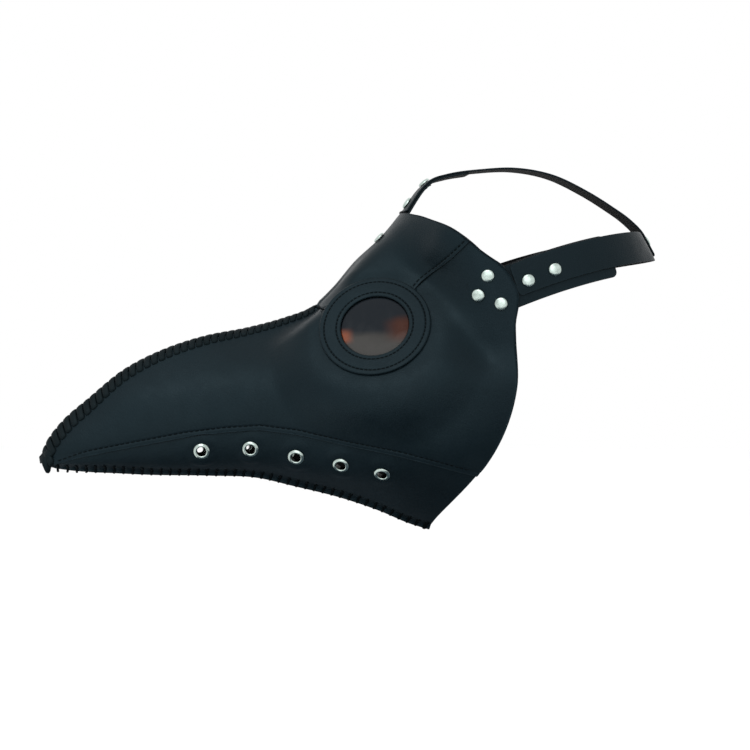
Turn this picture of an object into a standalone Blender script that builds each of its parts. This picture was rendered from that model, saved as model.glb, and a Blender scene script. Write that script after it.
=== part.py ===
"""Plague doctor mask: stitched leather beak mask with two lenses and a three-way head strap.

Units in the constants are millimetres and degrees; the mesh is written in metres.
The origin is the centre of the wearer's head, the beak points to -X, up is +Z and
the wearer's left side is -Y.
"""
import math

import bmesh
import bpy
import numpy as np
from mathutils import Matrix, Vector

MM = 0.001
GAP = 0.3                    # clearance between touching pieces
LEATHER = 1.5                # sheet thickness of the panels and straps

# levels above the inner shell surface (outer piece on top at every lap)
LAP_GAP = 0.7
LOWER_LEVEL = 0.0
UPPER_LEVEL = LOWER_LEVEL + LEATHER + LAP_GAP
FOREHEAD_LEVEL = UPPER_LEVEL + LEATHER + LAP_GAP + 0.6
RING_LEVEL = UPPER_LEVEL + LEATHER + LAP_GAP

# centre-line profiles of the inner shell, beak tip first (x, z)
TOP_LINE = ((-382.5, -104), (-377, -90), (-367, -76.5), (-347, -58.5), (-320, -36), (-289, -20), (-259, -10),
            (-225, -3), (-196, 5), (-173, 14), (-154, 30), (-135, 51), (-116, 69), (-98.5, 89.5))
BOTTOM_LINE = ((-381.5, -107.5), (-365, -108.5), (-342, -109), (-303, -111), (-256.5, -112), (-218, -114),
               (-188, -121), (-149, -131), (-120, -141), (-94, -152), (-79.5, -156.5))

# cross-sections along the beak and face, from tip (0) to rear edge (1)
STATION = (0.0, 0.08, 0.25, 0.5, 0.7, 0.85, 1.0)
HALF_WIDTH = (2.6, 8.5, 18.0, 31.5, 50.0, 74.0, 80.0)
WIDEST_HEIGHT = (0.45, 0.42, 0.42, 0.45, 0.48, 0.49, 0.60)   # share of the section height
CROWN_ANGLE = (60, 60, 56, 52, 46, 20, 0)                    # fall of the surface beside the ridge
KEEL_ANGLE = (50, 34, 26, 25, 26, 26, 20)                    # rise of the surface beside the keel
TOP_FULLNESS = (0.40, 0.42, 0.45, 0.46, 0.44, 0.44, 0.72)
KEEL_FULLNESS = (0.45, 0.50, 0.50, 0.50, 0.50, 0.50, 0.50)
SIDE_DROP = (0.50, 0.70, 0.82, 0.86, 0.86, 0.80, 0.50)       # how upright the sides stay below mid height
WRAP_DEPTH = (0, 0, 0, 0, 15, 40, 66)                        # how far the sides sweep back
WRAP_WIDTH = 80.0
WRAP_POWER = 2.2
KEEL_HALF_GAP = 0.55
TOP_SHARE = 0.55                                             # girth parameter at the widest line
REAR_CORNER = ((-8, 0), (4, 1), (17, 5.5), (28, 9), (39, 8.5), (50, 6), (54, 3), (60, 0))  # (z, extra x)

BRIDGE = 0.707               # station where the beak ridge meets the forehead panel

# seam lines in side view (x, z)
LOWER_SEAM = ((-400, -110), (-374, -104), (-358, -100), (-324, -93.3), (-275, -84), (-246, -80.4),
              (-218, -78.5), (-190, -82), (-157, -88.4), (-135, -93), (-113, -98), (-84, -105), (-46, -115),
              (0, -130))
FOREHEAD_SEAM = ((-174, 20), (-166, 13), (-150, 15), (-131, 21), (-99, 28), (-80, 46.5), (-58, 69),
                 (-40, 88))
LAP = 8.0                    # hidden width of a lapped edge
SEAM_GAP = 1.5               # where the forehead seam butts under the ring

# eyes
EYE_CENTRE = (-130.1, -47.5, -0.4)
EYE_NORMAL = (-0.27, -0.825, 0.496)
EYE_FLAT = 49.0              # radius that lies flat under the ring
EYE_BLEND = 74.0
RING_RADIUS = 43.5
RING_THICKNESS = 1.6
LENS_HOLE = 27.0
LENS_RADIUS = 31.0
LENS_WINDOW = 26.4           # the raised middle of the lens stands in the window
LENS_RAISE = 2.0
BACKING_RADIUS = 37.0
SEAM_RISE = (56.0, 70.0)     # forehead panel drops to the level of its neighbour near the ring
SEAM_LAP_START = (72.0, 82.0)

# eyelets along the lower panel, side view (x, z)
EYELETS = ((-263.5, -94.8), (-225.8, -93), (-190.8, -99), (-156.6, -105), (-125.3, -111.6))
EYELET_RADIUS = 6.3
EYELET_BORE = 3.65
EYELET_BARREL = 4.3
EYELET_SEAT = 0.6            # clearance of the flanges over the curved leather
EYELET_FLAT = (10.5, 19.0)   # the crimped eyelet pulls the leather flat around it

# head strap band
BAND_LENGTH = 95.0           # half length of the band outline in plan
BAND_WIDTH = 82.0            # half width
BAND_POWER = 2.3
BAND_RISE = (46.3, 0.335, -0.00125)   # height of the band centre line: a + b x + c x2
BAND_LEAN = (20.0, 30.0)     # at the sides, at the back
TEMPLE = (-41.0, 31.0)       # side view centre of the area where the panel follows the band
TEMPLE_FLAT = (42.0, 76.0)
STRAP_HALF = 12.5
TAB_LOW = 20.0
TAB_HIGH = 13.2
TAB_FRONT = -60.0
TAB_REAR = 50.0
STRAP_FRONT = -27.0
STRAP_HINGE = 44.0
SNAPS = (-18.0, 2.9)         # x of the snap caps
SNAP_DROP = (-3.6, -2.4)     # below the middle of the strap
TEMPLE_RIVETS = ((-47.0, 40.2), (-53.5, 25.4), (-36.8, 18.8))
RIVET_RADIUS = 5.0

# top strap, side view (x, z) of the tab's outer face; it starts inside the forehead panel
TOP_PATH = ((-97.5, 98.5), (-93.4, 104.5), (-86, 113.5), (-78, 119.5), (-67.5, 122.8), (-40, 127),
            (-12, 128.5), (18, 123.5), (45, 111.5), (67, 98.5), (81.5, 88.5), (91.3, 79.0), (97.3, 68.6),
            (102.4, 59.5))
TOP_TAB_START = 0.885        # station of the tab's front end
FOREHEAD_RIVET = 0.925
TOP_HALF = 12.5
TOP_TAB_HALF = 13.5
TOP_SNAP_GIRTH = (10.0, 31.0)   # beyond the forehead panel edge
TOP_TAB_GIRTH = 66.0
TOP_HINGE_GIRTH = 56.0
TOP_FLARE = 2.2

# lacing cords
RIDGE_RADIUS = 1.8
TIP_RADIUS = 2.6
KEEL_RADIUS = 1.6
CHIN_RADIUS = 2.4


def remove_everything():
    for old in list(bpy.data.objects):
        bpy.data.objects.remove(old, do_unlink=True)


remove_everything()
mask_collection = bpy.data.collections.new("plague_doctor_mask")
cutter_collection = bpy.data.collections.new("cutters")
for collection in (mask_collection, cutter_collection):
    bpy.context.scene.collection.children.link(collection)


# ---------------------------------------------------------------- materials
def material(name, colour, roughness, metallic=0.0, alpha=1.0):
    made = bpy.data.materials.new(name)
    made.use_nodes = True
    shader = made.node_tree.nodes["Principled BSDF"]
    shader.inputs["Base Color"].default_value = (*colour, 1.0)
    shader.inputs["Roughness"].default_value = roughness
    shader.inputs["Metallic"].default_value = metallic
    shader.inputs["Alpha"].default_value = alpha
    made.diffuse_color = (*colour, alpha)
    return made


LEATHER_BLACK = material("black_leather", (0.012, 0.015, 0.019), 0.42)
LEATHER_STRAP = material("strap_leather", (0.010, 0.012, 0.015), 0.50)
LEATHER_BACK = material("backing_leather", (0.020, 0.018, 0.017), 0.75)
CORD_BLACK = material("lacing_cord", (0.012, 0.013, 0.015), 0.60)
LENS_AMBER = material("smoky_amber_plastic", (0.16, 0.05, 0.02), 0.10, 0.0, 0.55)
NICKEL = material("nickel_silver", (0.74, 0.73, 0.69), 0.28, 1.0)


# ---------------------------------------------------------------- curves and falloffs
def smooth(knots, values, x):
    """Smooth curve through the knots, for scalars or points."""
    knots = np.asarray(knots, float)
    values = np.asarray(values, float)
    x = np.clip(np.asarray(x, float), knots[0], knots[-1])
    slopes = np.gradient(values, knots, axis=0)
    left = np.clip(np.searchsorted(knots, x, side="right") - 1, 0, len(knots) - 2)
    span = knots[left + 1] - knots[left]
    t = (x - knots[left]) / span
    if values.ndim > 1:
        t = t[..., None]
        span = span[..., None]
    start = values[left] * (1 + 2 * t) * (1 - t) ** 2 + slopes[left] * span * t * (1 - t) ** 2
    end = values[left + 1] * t * t * (3 - 2 * t) - slopes[left + 1] * span * t * t * (1 - t)
    return start + end


def falloff(distance, full, none):
    """One inside the radius full, zero outside the radius none."""
    t = np.clip((none - distance) / (none - full), 0.0, 1.0)
    return t * t * (3 - 2 * t)


def along(points):
    """Chord-length stations from 0 to 1 of a row of points."""
    points = np.asarray(points, float)
    steps = np.linalg.norm(np.diff(points, axis=0), axis=1)
    run = np.concatenate(([0.0], np.cumsum(steps)))
    return run / run[-1]


TOP_STATIONS = along(TOP_LINE)
BOTTOM_STATIONS = along(BOTTOM_LINE)


# ---------------------------------------------------------------- strap band surface
def band_height(x):
    return BAND_RISE[0] + BAND_RISE[1] * x + BAND_RISE[2] * x * x


def band_half_width(x):
    share = np.clip(np.abs(x) / BAND_LENGTH, 0.0, 1.0)
    return BAND_WIDTH * (1 - share ** BAND_POWER) ** (1 / BAND_POWER)


def band_lean(x):
    share = np.clip((x - 30.0) / (BAND_LENGTH - 30.0), 0.0, 1.0)
    return np.radians(BAND_LEAN[0] + (BAND_LEAN[1] - BAND_LEAN[0]) * share * share)


def band_cover(x, z):
    """Half width of the band surface at a side-view position."""
    lean = math.radians(BAND_LEAN[0])
    centre = np.asarray(x, float).copy()
    for _ in range(6):
        rise = (z - band_height(centre)) / math.cos(lean)
        centre = x + rise * math.sin(lean)
    return band_half_width(centre)


def band_table():
    """Centre-line points of the whole band with running length, zero at the back."""
    quarter = np.linspace(0.0, 1.0, 1500) ** 0.8 * math.radians(132.0)
    x = BAND_LENGTH * np.cos(quarter)
    y = band_half_width(x)
    left = np.stack([x, -y, band_height(x)], axis=1)
    right = left * (1, -1, 1)
    points = np.concatenate([left[::-1], right[1:]])
    run = np.concatenate(([0.0], np.cumsum(np.linalg.norm(np.diff(points, axis=0), axis=1))))
    return points, run - run[len(left) - 1]


BAND_POINTS, BAND_RUN = band_table()


def band_at_x(x):
    """Running length on the left side where the centre line has this x."""
    count = len(BAND_POINTS) // 2 + 1
    return float(np.interp(x, BAND_POINTS[:count, 0], BAND_RUN[:count]))


def band_frame(s):
    """Point, width direction and outward direction of the band at running length s."""
    s = np.asarray(s, float)
    point = np.stack([np.interp(s, BAND_RUN, BAND_POINTS[:, i]) for i in range(3)], axis=-1)
    ahead = np.stack([np.interp(s + 2.0, BAND_RUN, BAND_POINTS[:, i]) for i in range(3)], axis=-1)
    behind = np.stack([np.interp(s - 2.0, BAND_RUN, BAND_POINTS[:, i]) for i in range(3)], axis=-1)
    lean = band_lean(point[..., 0])
    wide = np.stack([-np.sin(lean), np.zeros_like(lean), np.cos(lean)], axis=-1)
    out = np.cross(ahead - behind, wide)
    out /= np.linalg.norm(out, axis=-1, keepdims=True)
    return point, wide, out


# ---------------------------------------------------------------- shell surface
EYELET_PLANES = []


def shell_section(u, v):
    """Half width and height share of the section at girth parameter v."""
    width = smooth(STATION, HALF_WIDTH, u)
    widest = smooth(STATION, WIDEST_HEIGHT, u)
    crown = np.radians(smooth(STATION, CROWN_ANGLE, u))
    keel = np.radians(smooth(STATION, KEEL_ANGLE, u))
    top_full = smooth(STATION, TOP_FULLNESS, u)
    low_full = smooth(STATION, KEEL_FULLNESS, u)
    drop = smooth(STATION, SIDE_DROP, u)
    top = smooth(TOP_STATIONS, TOP_LINE, u)
    bottom = smooth(BOTTOM_STATIONS, BOTTOM_LINE, u)
    height = np.linalg.norm(top - bottom, axis=-1)
    upper = v < TOP_SHARE
    t = np.where(upper, v / TOP_SHARE, (v - TOP_SHARE) / (1 - TOP_SHARE))
    above = height * (1 - widest)
    below = height * widest
    reach_top = top_full * (width * np.cos(crown) + above * np.sin(crown))
    reach_low = low_full * (width * np.cos(keel) + below * np.sin(keel))
    y_ctrl = np.where(upper, (0 * u, reach_top * np.cos(crown), width, width),
                      (width, width, KEEL_HALF_GAP + reach_low * np.cos(keel), KEEL_HALF_GAP + 0 * u))
    h_ctrl = np.where(upper, (height, height - reach_top * np.sin(crown), below + top_full * above, below),
                      (below, below - drop * below, reach_low * np.sin(keel), 0 * u))
    weight = ((1 - t) ** 3, 3 * t * (1 - t) ** 2, 3 * t * t * (1 - t), t ** 3)
    y = sum(w * c for w, c in zip(weight, y_ctrl))
    share = sum(w * c for w, c in zip(weight, h_ctrl)) / height
    return y, share, top, bottom


def shell(u, v):
    """Points of the left inner shell surface; u from tip to rear edge, v from ridge to keel."""
    u, v = np.broadcast_arrays(np.asarray(u, float), np.asarray(v, float))
    y, share, top, bottom = shell_section(u, v)
    chord = bottom + share[..., None] * (top - bottom)
    z = chord[..., 1]
    corner = smooth([k[0] for k in REAR_CORNER], [k[1] for k in REAR_CORNER], z)
    near_rear = np.clip((u - 0.86) / 0.14, 0.0, 1.0) ** 2
    x = chord[..., 0] + smooth(STATION, WRAP_DEPTH, u) * (y / WRAP_WIDTH) ** WRAP_POWER + corner * near_rear
    temple = falloff(np.hypot(x - TEMPLE[0], z - TEMPLE[1]), *TEMPLE_FLAT)
    y = y * (1 - temple) + temple * (band_cover(x, z) - UPPER_LEVEL)
    point = np.stack([x, -y, z], axis=-1)
    normal = np.asarray(EYE_NORMAL) / np.linalg.norm(EYE_NORMAL)
    offset = point - np.asarray(EYE_CENTRE)
    lift = offset @ normal
    flat = falloff(np.sqrt(np.maximum((offset ** 2).sum(-1) - lift ** 2, 0.0)), EYE_FLAT, EYE_BLEND)
    flat = flat * falloff(np.abs(lift), 22.0, 40.0) * falloff(-y, -20.0, -2.0)
    point = point - (flat * lift)[..., None] * normal
    for centre, facing in EYELET_PLANES:
        offset = point - centre
        lift = offset @ facing
        flat = falloff(np.linalg.norm(offset, axis=-1), *EYELET_FLAT)
        point = point - (flat * lift)[..., None] * facing
    return point


def shell_normal(u, v):
    """Outward unit normals of the left shell surface."""
    step = 0.004
    u = np.clip(u, step, 1 - step)
    v = np.clip(v, step, 1 - step)
    across = shell(u, v + step) - shell(u, v - step)
    length = shell(u + step, v) - shell(u - step, v)
    normal = np.cross(across, length)
    normal /= np.linalg.norm(normal, axis=-1, keepdims=True)
    return normal


def shell_at(u, v, level):
    normal = shell_normal(u, v)
    on_ridge = np.where(np.asarray(v) <= 0.0, 1.0, 0.0) * falloff(1 - np.asarray(u), 0.05, 0.2)
    normal = normal * (1 - on_ridge[..., None] * np.array((0, 1, 0)))
    normal /= np.linalg.norm(normal, axis=-1, keepdims=True)
    return shell(u, v) + normal * np.asarray(level)[..., None]


GIRTH_V = np.linspace(0.0, 1.0, 161)


def girth(u):
    """Running length down one section, at the values of GIRTH_V."""
    points = shell(np.full_like(GIRTH_V, u), GIRTH_V)
    return np.concatenate(([0.0], np.cumsum(np.linalg.norm(np.diff(points, axis=0), axis=1))))


def v_at_girth(u, s):
    return float(np.interp(s, girth(u), GIRTH_V))


def seam_v(u, seam, upper_limit=0.0, lower_limit=1.0):
    """Girth parameter where a section crosses a seam drawn in side view."""
    trial = np.linspace(upper_limit, lower_limit, 241)
    points = shell(np.full_like(trial, u), trial)
    line = np.interp(points[:, 0], [k[0] for k in seam], [k[1] for k in seam])
    below = np.nonzero(points[:, 2] <= line)[0]
    if len(below) == 0:
        return lower_limit
    first = below[0]
    if first == 0:
        return upper_limit
    high = points[first - 1, 2] - line[first - 1]
    low = points[first, 2] - line[first]
    return float(trial[first - 1] + (trial[first] - trial[first - 1]) * high / (high - low))


def eye_distance(u, v):
    return float(np.linalg.norm(shell(u, v) - np.asarray(EYE_CENTRE)))


def locate(x, z, v_low=0.05, v_high=1.0):
    """Station and girth parameter of the side-view position (x, z)."""
    u, v = 0.6, 0.5
    span_u, span_v = 0.6, 0.6
    for _ in range(14):
        us = np.clip(np.linspace(u - span_u, u + span_u, 13), 0.0, 1.0)
        vs = np.clip(np.linspace(v - span_v, v + span_v, 13), v_low, v_high)
        grid_u, grid_v = np.meshgrid(us, vs)
        points = shell(grid_u, grid_v)
        best = np.argmin(np.hypot(points[..., 0] - x, points[..., 2] - z))
        u, v = grid_u.flat[best], grid_v.flat[best]
        span_u *= 0.45
        span_v *= 0.45
    return float(u), float(v)


EYELET_SPOTS = [locate(x, z, TOP_SHARE) for x, z in EYELETS]
EYELET_PLANES.extend([(shell(u, v), shell_normal(np.array([u]), np.array([v]))[0]) for u, v in EYELET_SPOTS])


# ---------------------------------------------------------------- mesh helpers
def new_object(name, mesh, look, collection=mask_collection):
    body = bpy.data.objects.new(name, mesh)
    mesh.materials.clear()
    if look is not None:
        mesh.materials.append(look)
    collection.objects.link(body)
    return body


def grid_object(name, look, columns, rows, place, thickness, outward):
    """Solid sheet: a grid laid on a surface by place(i, j), thickened outward."""
    sheet = bmesh.new()
    bmesh.ops.create_grid(sheet, x_segments=columns, y_segments=rows, size=1.0)
    wanted = place(np.linspace(0, 1, columns + 1), np.linspace(0, 1, rows + 1))
    for vertex in sheet.verts:
        i = round((vertex.co.x + 1) / 2 * columns)
        j = round((vertex.co.y + 1) / 2 * rows)
        vertex.co = Vector(wanted[i][j]) * MM
    middle = list(sheet.faces)[len(sheet.faces) // 2]
    middle.normal_update()
    if middle.normal.dot(Vector(outward(middle.calc_center_median() / MM))) < 0:
        bmesh.ops.reverse_faces(sheet, faces=list(sheet.faces))
    for face in sheet.faces:
        face.smooth = True
    mesh = bpy.data.meshes.new(name)
    sheet.to_mesh(mesh)
    sheet.free()
    body = new_object(name, mesh, look)
    solid = body.modifiers.new("thickness", "SOLIDIFY")
    solid.thickness = thickness * MM
    solid.offset = 1.0
    solid.use_even_offset = False
    return body


def mirrored(body, name):
    """Own copy of a piece on the wearer's right side."""
    mesh = body.data.copy()
    mesh.name = name
    flip = bmesh.new()
    flip.from_mesh(mesh)
    for vertex in flip.verts:
        vertex.co.y = -vertex.co.y
    bmesh.ops.reverse_faces(flip, faces=list(flip.faces))
    flip.to_mesh(mesh)
    flip.free()
    twin = bpy.data.objects.new(name, mesh)
    mask_collection.objects.link(twin)
    for modifier in body.modifiers:
        if modifier.type == "SOLIDIFY":
            solid = twin.modifiers.new(modifier.name, "SOLIDIFY")
            solid.thickness = modifier.thickness
            solid.offset = modifier.offset
            solid.use_even_offset = modifier.use_even_offset
    return twin


def lathe(name, look, profile, steps, closed):
    """Round piece about its own Z axis; the profile is (radius, height) in mm."""
    mesh = bpy.data.meshes.new(name)
    count = len(profile)
    edges = [(i, i + 1) for i in range(count - 1)]
    if closed:
        edges.append((count - 1, 0))
    mesh.from_pydata([(r * MM, 0.0, z * MM) for r, z in profile], edges, [])
    body = new_object(name, mesh, look)
    spin = body.modifiers.new("turn", "SCREW")
    spin.angle = math.tau
    spin.steps = steps
    spin.render_steps = steps
    spin.use_merge_vertices = True
    spin.merge_threshold = 0.00001
    spin.use_smooth_shade = True
    return body


def frame_matrix(origin, normal, width):
    """Local Z along the outward normal, local Y along the width direction."""
    z = Vector(normal).normalized()
    y = Vector(width)
    y = (y - z * y.dot(z)).normalized()
    x = y.cross(z)
    turn = Matrix((x, y, z)).transposed().to_4x4()
    return Matrix.Translation(Vector(origin) * MM) @ turn


def round_cutter(name, spots, radius, depth, segments=14):
    """One cutter mesh made of round punches at the given frames."""
    punch = bmesh.new()
    for frame in spots:
        bmesh.ops.create_cone(punch, cap_ends=True, segments=segments, radius1=radius * MM,
                              radius2=radius * MM, depth=depth * MM, matrix=frame)
    mesh = bpy.data.meshes.new(name)
    punch.to_mesh(mesh)
    punch.free()
    cutter = new_object(name, mesh, None, cutter_collection)
    cutter.hide_render = True
    cutter.display_type = "WIRE"
    return cutter


def cut(body, cutter):
    hole = body.modifiers.new("holes", "BOOLEAN")
    hole.operation = "DIFFERENCE"
    hole.solver = "EXACT"
    hole.object = cutter


def mirror_frame(frame):
    """Frame of the matching place on the other side of the mask."""
    origin = frame.translation / MM
    normal = frame.col[2].xyz
    width = frame.col[1].xyz
    flip = Vector((1, -1, 1))
    return frame_matrix(origin * flip, normal * flip, width * flip)


# ---------------------------------------------------------------- leather panels
def panel(name, columns, rows, upper_girth, lower_girth, level):
    """Left panel between two girth lines."""
    def place(lengthwise, steps):
        wanted = []
        for u in panel_stations(len(lengthwise)):
            low, high = upper_girth(u), lower_girth(u)
            v = np.array([v_at_girth(u, low + (high - low) * t) for t in steps])
            if low <= 0.0:
                v[0] = 0.0
            wanted.append(shell_at(np.full_like(v, u), v, np.full_like(v, level)))
        return wanted
    return grid_object(name, LEATHER_BLACK, columns, rows, place, LEATHER, lambda at: (0, -1, 0.2))


def girth_at_seam(u, seam):
    v = seam_v(u, seam)
    return float(np.interp(v, GIRTH_V, girth(u))), v


def forehead_edge(u):
    """Girth of the forehead panel's lower edge; zero in front of the bridge."""
    if u <= BRIDGE:
        return 0.0
    return girth_at_seam(u, FOREHEAD_SEAM)[0]


def upper_panel_top(u):
    """The side panel is laced at the ridge, butts under the ring and laps behind it."""
    edge = forehead_edge(u)
    if edge <= 0.0:
        return 0.0
    v = v_at_girth(u, edge)
    behind = 1.0 if shell(u, v)[0] > EYE_CENTRE[0] else 0.0
    lap = (1 - falloff(eye_distance(u, v), *SEAM_LAP_START)) * behind
    return max(edge + SEAM_GAP - lap * (LAP + SEAM_GAP), 0.0)


def lower_seam_girth(u):
    return girth_at_seam(u, LOWER_SEAM)[0]


def full_girth(u):
    return float(girth(u)[-1])


def lower_panel_top(u):
    return max(lower_seam_girth(u) - LAP, 0.8)


REAR_CELLS = 15
PANEL_CELLS = 32
REAR_STATIONS = BRIDGE + (1 - BRIDGE) * np.linspace(0.0, 1.0, REAR_CELLS + 1) ** 1.2


def panel_stations(count):
    """Stations of the panel columns; those behind the bridge are shared with the forehead panel."""
    front = np.linspace(0.0, BRIDGE, count - REAR_CELLS)
    return np.concatenate([front[:-1], REAR_STATIONS])


def forehead_level(u, v):
    distance = np.array([eye_distance(u, one) for one in v])
    drop = falloff(distance, *SEAM_RISE)
    return FOREHEAD_LEVEL - drop * (FOREHEAD_LEVEL - UPPER_LEVEL)


upper_left = panel("upper_panel_left", PANEL_CELLS, 9, upper_panel_top, lower_seam_girth, UPPER_LEVEL)
lower_left = panel("lower_panel_left", PANEL_CELLS, 5, lower_panel_top, full_girth, LOWER_LEVEL)


def forehead_place(lengthwise, steps):
    wanted = []
    for u in np.concatenate([[BRIDGE + 0.006], REAR_STATIONS[1:]]):
        edge = forehead_edge(u)
        s = (np.asarray(steps) * 2 - 1) * edge
        v = np.array([v_at_girth(u, abs(one)) for one in s])
        points = shell_at(np.full_like(v, u), v, forehead_level(u, v))
        centre = np.abs(s) < 1e-6
        points[centre, 1] = 0.0
        points[s > 0, 1] *= -1
        wanted.append(points)
    return wanted


forehead = grid_object("forehead_panel", LEATHER_BLACK, REAR_CELLS, 16, forehead_place, LEATHER,
                       lambda at: (-0.6, 0, 0.8))
upper_right = mirrored(upper_left, "upper_panel_right")
lower_right = mirrored(lower_left, "lower_panel_right")


# ---------------------------------------------------------------- eyes
def eye_frame(level):
    normal = Vector(EYE_NORMAL).normalized()
    return frame_matrix(Vector(EYE_CENTRE) + normal * level, normal, (0, 0, 1))


def flat_ring(inner, outer, thickness, edge):
    return ((inner, thickness), (outer - edge, thickness), (outer, thickness - edge), (outer, 0.0),
            (inner, 0.0))


def lens_profile():
    face = LEATHER + LENS_RAISE
    return ((0, face + 0.6), (LENS_WINDOW * 0.6, face + 0.4), (LENS_WINDOW - 1, face),
            (LENS_WINDOW, face - 0.7), (LENS_WINDOW, LEATHER), (LENS_RADIUS, LEATHER), (LENS_RADIUS, 0),
            (0, 0))


EYE_PARTS = (("eye_ring", LEATHER_BLACK, RING_LEVEL,
              flat_ring(LENS_HOLE, RING_RADIUS, RING_THICKNESS, 0.4), True),
             ("lens", LENS_AMBER, 0.0, lens_profile(), False),
             ("lens_backing", LEATHER_BACK, -LEATHER - GAP,
              flat_ring(LENS_HOLE, BACKING_RADIUS, LEATHER, 0.3), True))
for side, label in ((-1, "left"), (1, "right")):
    for stem, look, level, profile, closed in EYE_PARTS:
        piece = lathe(stem + "_" + label, look, profile, 36, closed)
        frame = eye_frame(level)
        piece.matrix_world = frame if side < 0 else mirror_frame(frame)
    window = round_cutter("lens_window_" + label, [Matrix.Identity(4)], LENS_HOLE, 14.0, 36)
    window.matrix_world = eye_frame(2.0) if side < 0 else mirror_frame(eye_frame(2.0))
    cut(upper_left if side < 0 else upper_right, window)
    cut(forehead, window)


# ---------------------------------------------------------------- eyelets
EYELET_SEATS = []
for centre, facing in EYELET_PLANES:
    EYELET_SEATS.append(frame_matrix(centre + (LOWER_LEVEL + LEATHER) * facing, facing, (0, 0, 1)))


def eyelet_profile():
    top = EYELET_SEAT
    low = -LEATHER - 2 * EYELET_SEAT
    bore, barrel, rim = EYELET_BORE, EYELET_BARREL, EYELET_RADIUS
    return ((bore, top + 0.9), (bore + 0.75, top + 1.35), (rim - 0.9, top + 1.0), (rim, top + 0.3),
            (rim, top), (barrel, top), (barrel, low), (rim - 0.8, low), (rim - 0.8, low - 0.5),
            (bore, low - 0.7))


for side, label in ((-1, "left"), (1, "right")):
    frames = []
    for number, frame in enumerate(EYELET_SEATS, 1):
        placed = frame if side < 0 else mirror_frame(frame)
        piece = lathe("eyelet_%s_%d" % (label, number), NICKEL, eyelet_profile(), 16, True)
        piece.matrix_world = placed
        frames.append(placed)
    punch = round_cutter("eyelet_holes_" + label, frames, EYELET_BARREL + 0.35, 16.0)
    cut(lower_left if side < 0 else lower_right, punch)


# ---------------------------------------------------------------- ribbons (tabs and straps)
def top_table():
    """Side-view line of the top tab's outer face, starting under the forehead panel."""
    inside = []
    for u in np.linspace(TOP_TAB_START, 1.0, 7):
        here = shell_at(np.array([u]), np.array([0.0]), np.array([FOREHEAD_LEVEL - 3 * GAP]))[0]
        inside.append((here[0], here[2]))
    knots = np.array(inside + list(TOP_PATH))
    stations = along(knots)
    points = smooth(stations, knots, np.linspace(0, 1, 1200))
    run = np.concatenate(([0.0], np.cumsum(np.linalg.norm(np.diff(points, axis=0), axis=1))))
    edge = np.argmin(np.linalg.norm(points - np.array(inside[-1]), axis=1))
    return points, run - run[edge]


TOP_POINTS, TOP_RUN = top_table()


def forehead_drop(s, width):
    """How far the forehead falls away beside the centre line; it fades out beyond the edge."""
    start = float(TOP_RUN[0])
    u = float(np.interp(s, (start, 0.0), (TOP_TAB_START, 1.0)))
    points = shell(np.full(41, u), np.linspace(0.0, 0.4, 41))
    normal = shell_normal(np.array([u]), np.array([0.0]))[0] * (1, 0, 1)
    drop = (points - points[0]) @ (normal / np.linalg.norm(normal))
    return np.interp(np.abs(width), -points[:, 1], drop) * float(falloff(s, 0.0, 40.0))


def top_frame(s):
    s = np.asarray(s, float)

    def at(where):
        x = np.interp(where, TOP_RUN, TOP_POINTS[:, 0])
        z = np.interp(where, TOP_RUN, TOP_POINTS[:, 1])
        return np.stack([x, np.zeros_like(x), z], axis=-1)

    tangent = at(s + 2.0) - at(s - 2.0)
    wide = np.zeros_like(tangent)
    wide[..., 1] = 1.0
    out = np.cross(tangent, wide)
    out /= np.linalg.norm(out, axis=-1, keepdims=True)
    out *= np.where(out[..., 2:3] + 0.5 * out[..., 0:1] * np.sign(at(s)[..., 0:1]) < 0, -1.0, 1.0)
    return at(s), wide, out


def rounded(share, length, half, radius_start, radius_end):
    """Share of the half width left near the rounded ends of a ribbon."""
    distance = share * length
    shrink = 0.0
    for gap, radius in ((distance, radius_start), (length - distance, radius_end)):
        if gap < radius:
            shrink = max(shrink, radius - math.sqrt(max(radius ** 2 - (radius - gap) ** 2, 0.0)))
    return 1 - shrink / half


def ribbon(name, look, frame_at, start, end, low, high, offset, columns, radius_start=0.0, radius_end=0.0,
           origin=None, lift=None, drop=None):
    """Strap piece between two running lengths; offset is its inner face above the band surface."""
    length = end - start

    def shares():
        fine = [0.0, 0.12, 0.4, 1.0]
        ends = [f * radius_start / length for f in fine] if radius_start else [0.0]
        tail = [1 - f * radius_end / length for f in reversed(fine)] if radius_end else [1.0]
        middle = np.linspace(ends[-1], tail[0], columns - len(ends) - len(tail) + 3)[1:-1]
        return list(ends) + list(middle) + list(tail)

    def place(steps, rows):
        wanted = []
        half = (high - low) / 2
        for share in shares():
            s = start + share * length
            point, wide, out = frame_at(np.array([s]))
            keep = rounded(share, length, half, radius_start, radius_end)
            centre = (high + low) / 2
            widths = centre + (np.asarray(rows) * 2 - 1) * half * keep
            raised = np.full_like(widths, offset + (lift(s) if lift else 0.0))
            if drop:
                raised = raised + drop(s, widths)
            row = point + widths[:, None] * wide + raised[:, None] * out
            if origin is not None:
                row = row - origin
            wanted.append(row)
        return wanted

    middle_out = frame_at(np.array([(start + end) / 2]))[2][0]
    body = grid_object(name, look, len(shares()) - 1, 4 if drop else 2, place, LEATHER,
                       lambda at: middle_out)
    if origin is not None:
        body.location = Vector(origin) * MM
    return body


TAB_OFFSET = -3 * GAP - LEATHER
STRAP_OFFSET = 0.0
hinge_s = band_at_x(STRAP_HINGE)


def hinge_origin(frame_at, s, offset):
    point, wide, out = frame_at(np.array([s]))
    return point[0] + (offset + LEATHER) * out[0]


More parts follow.
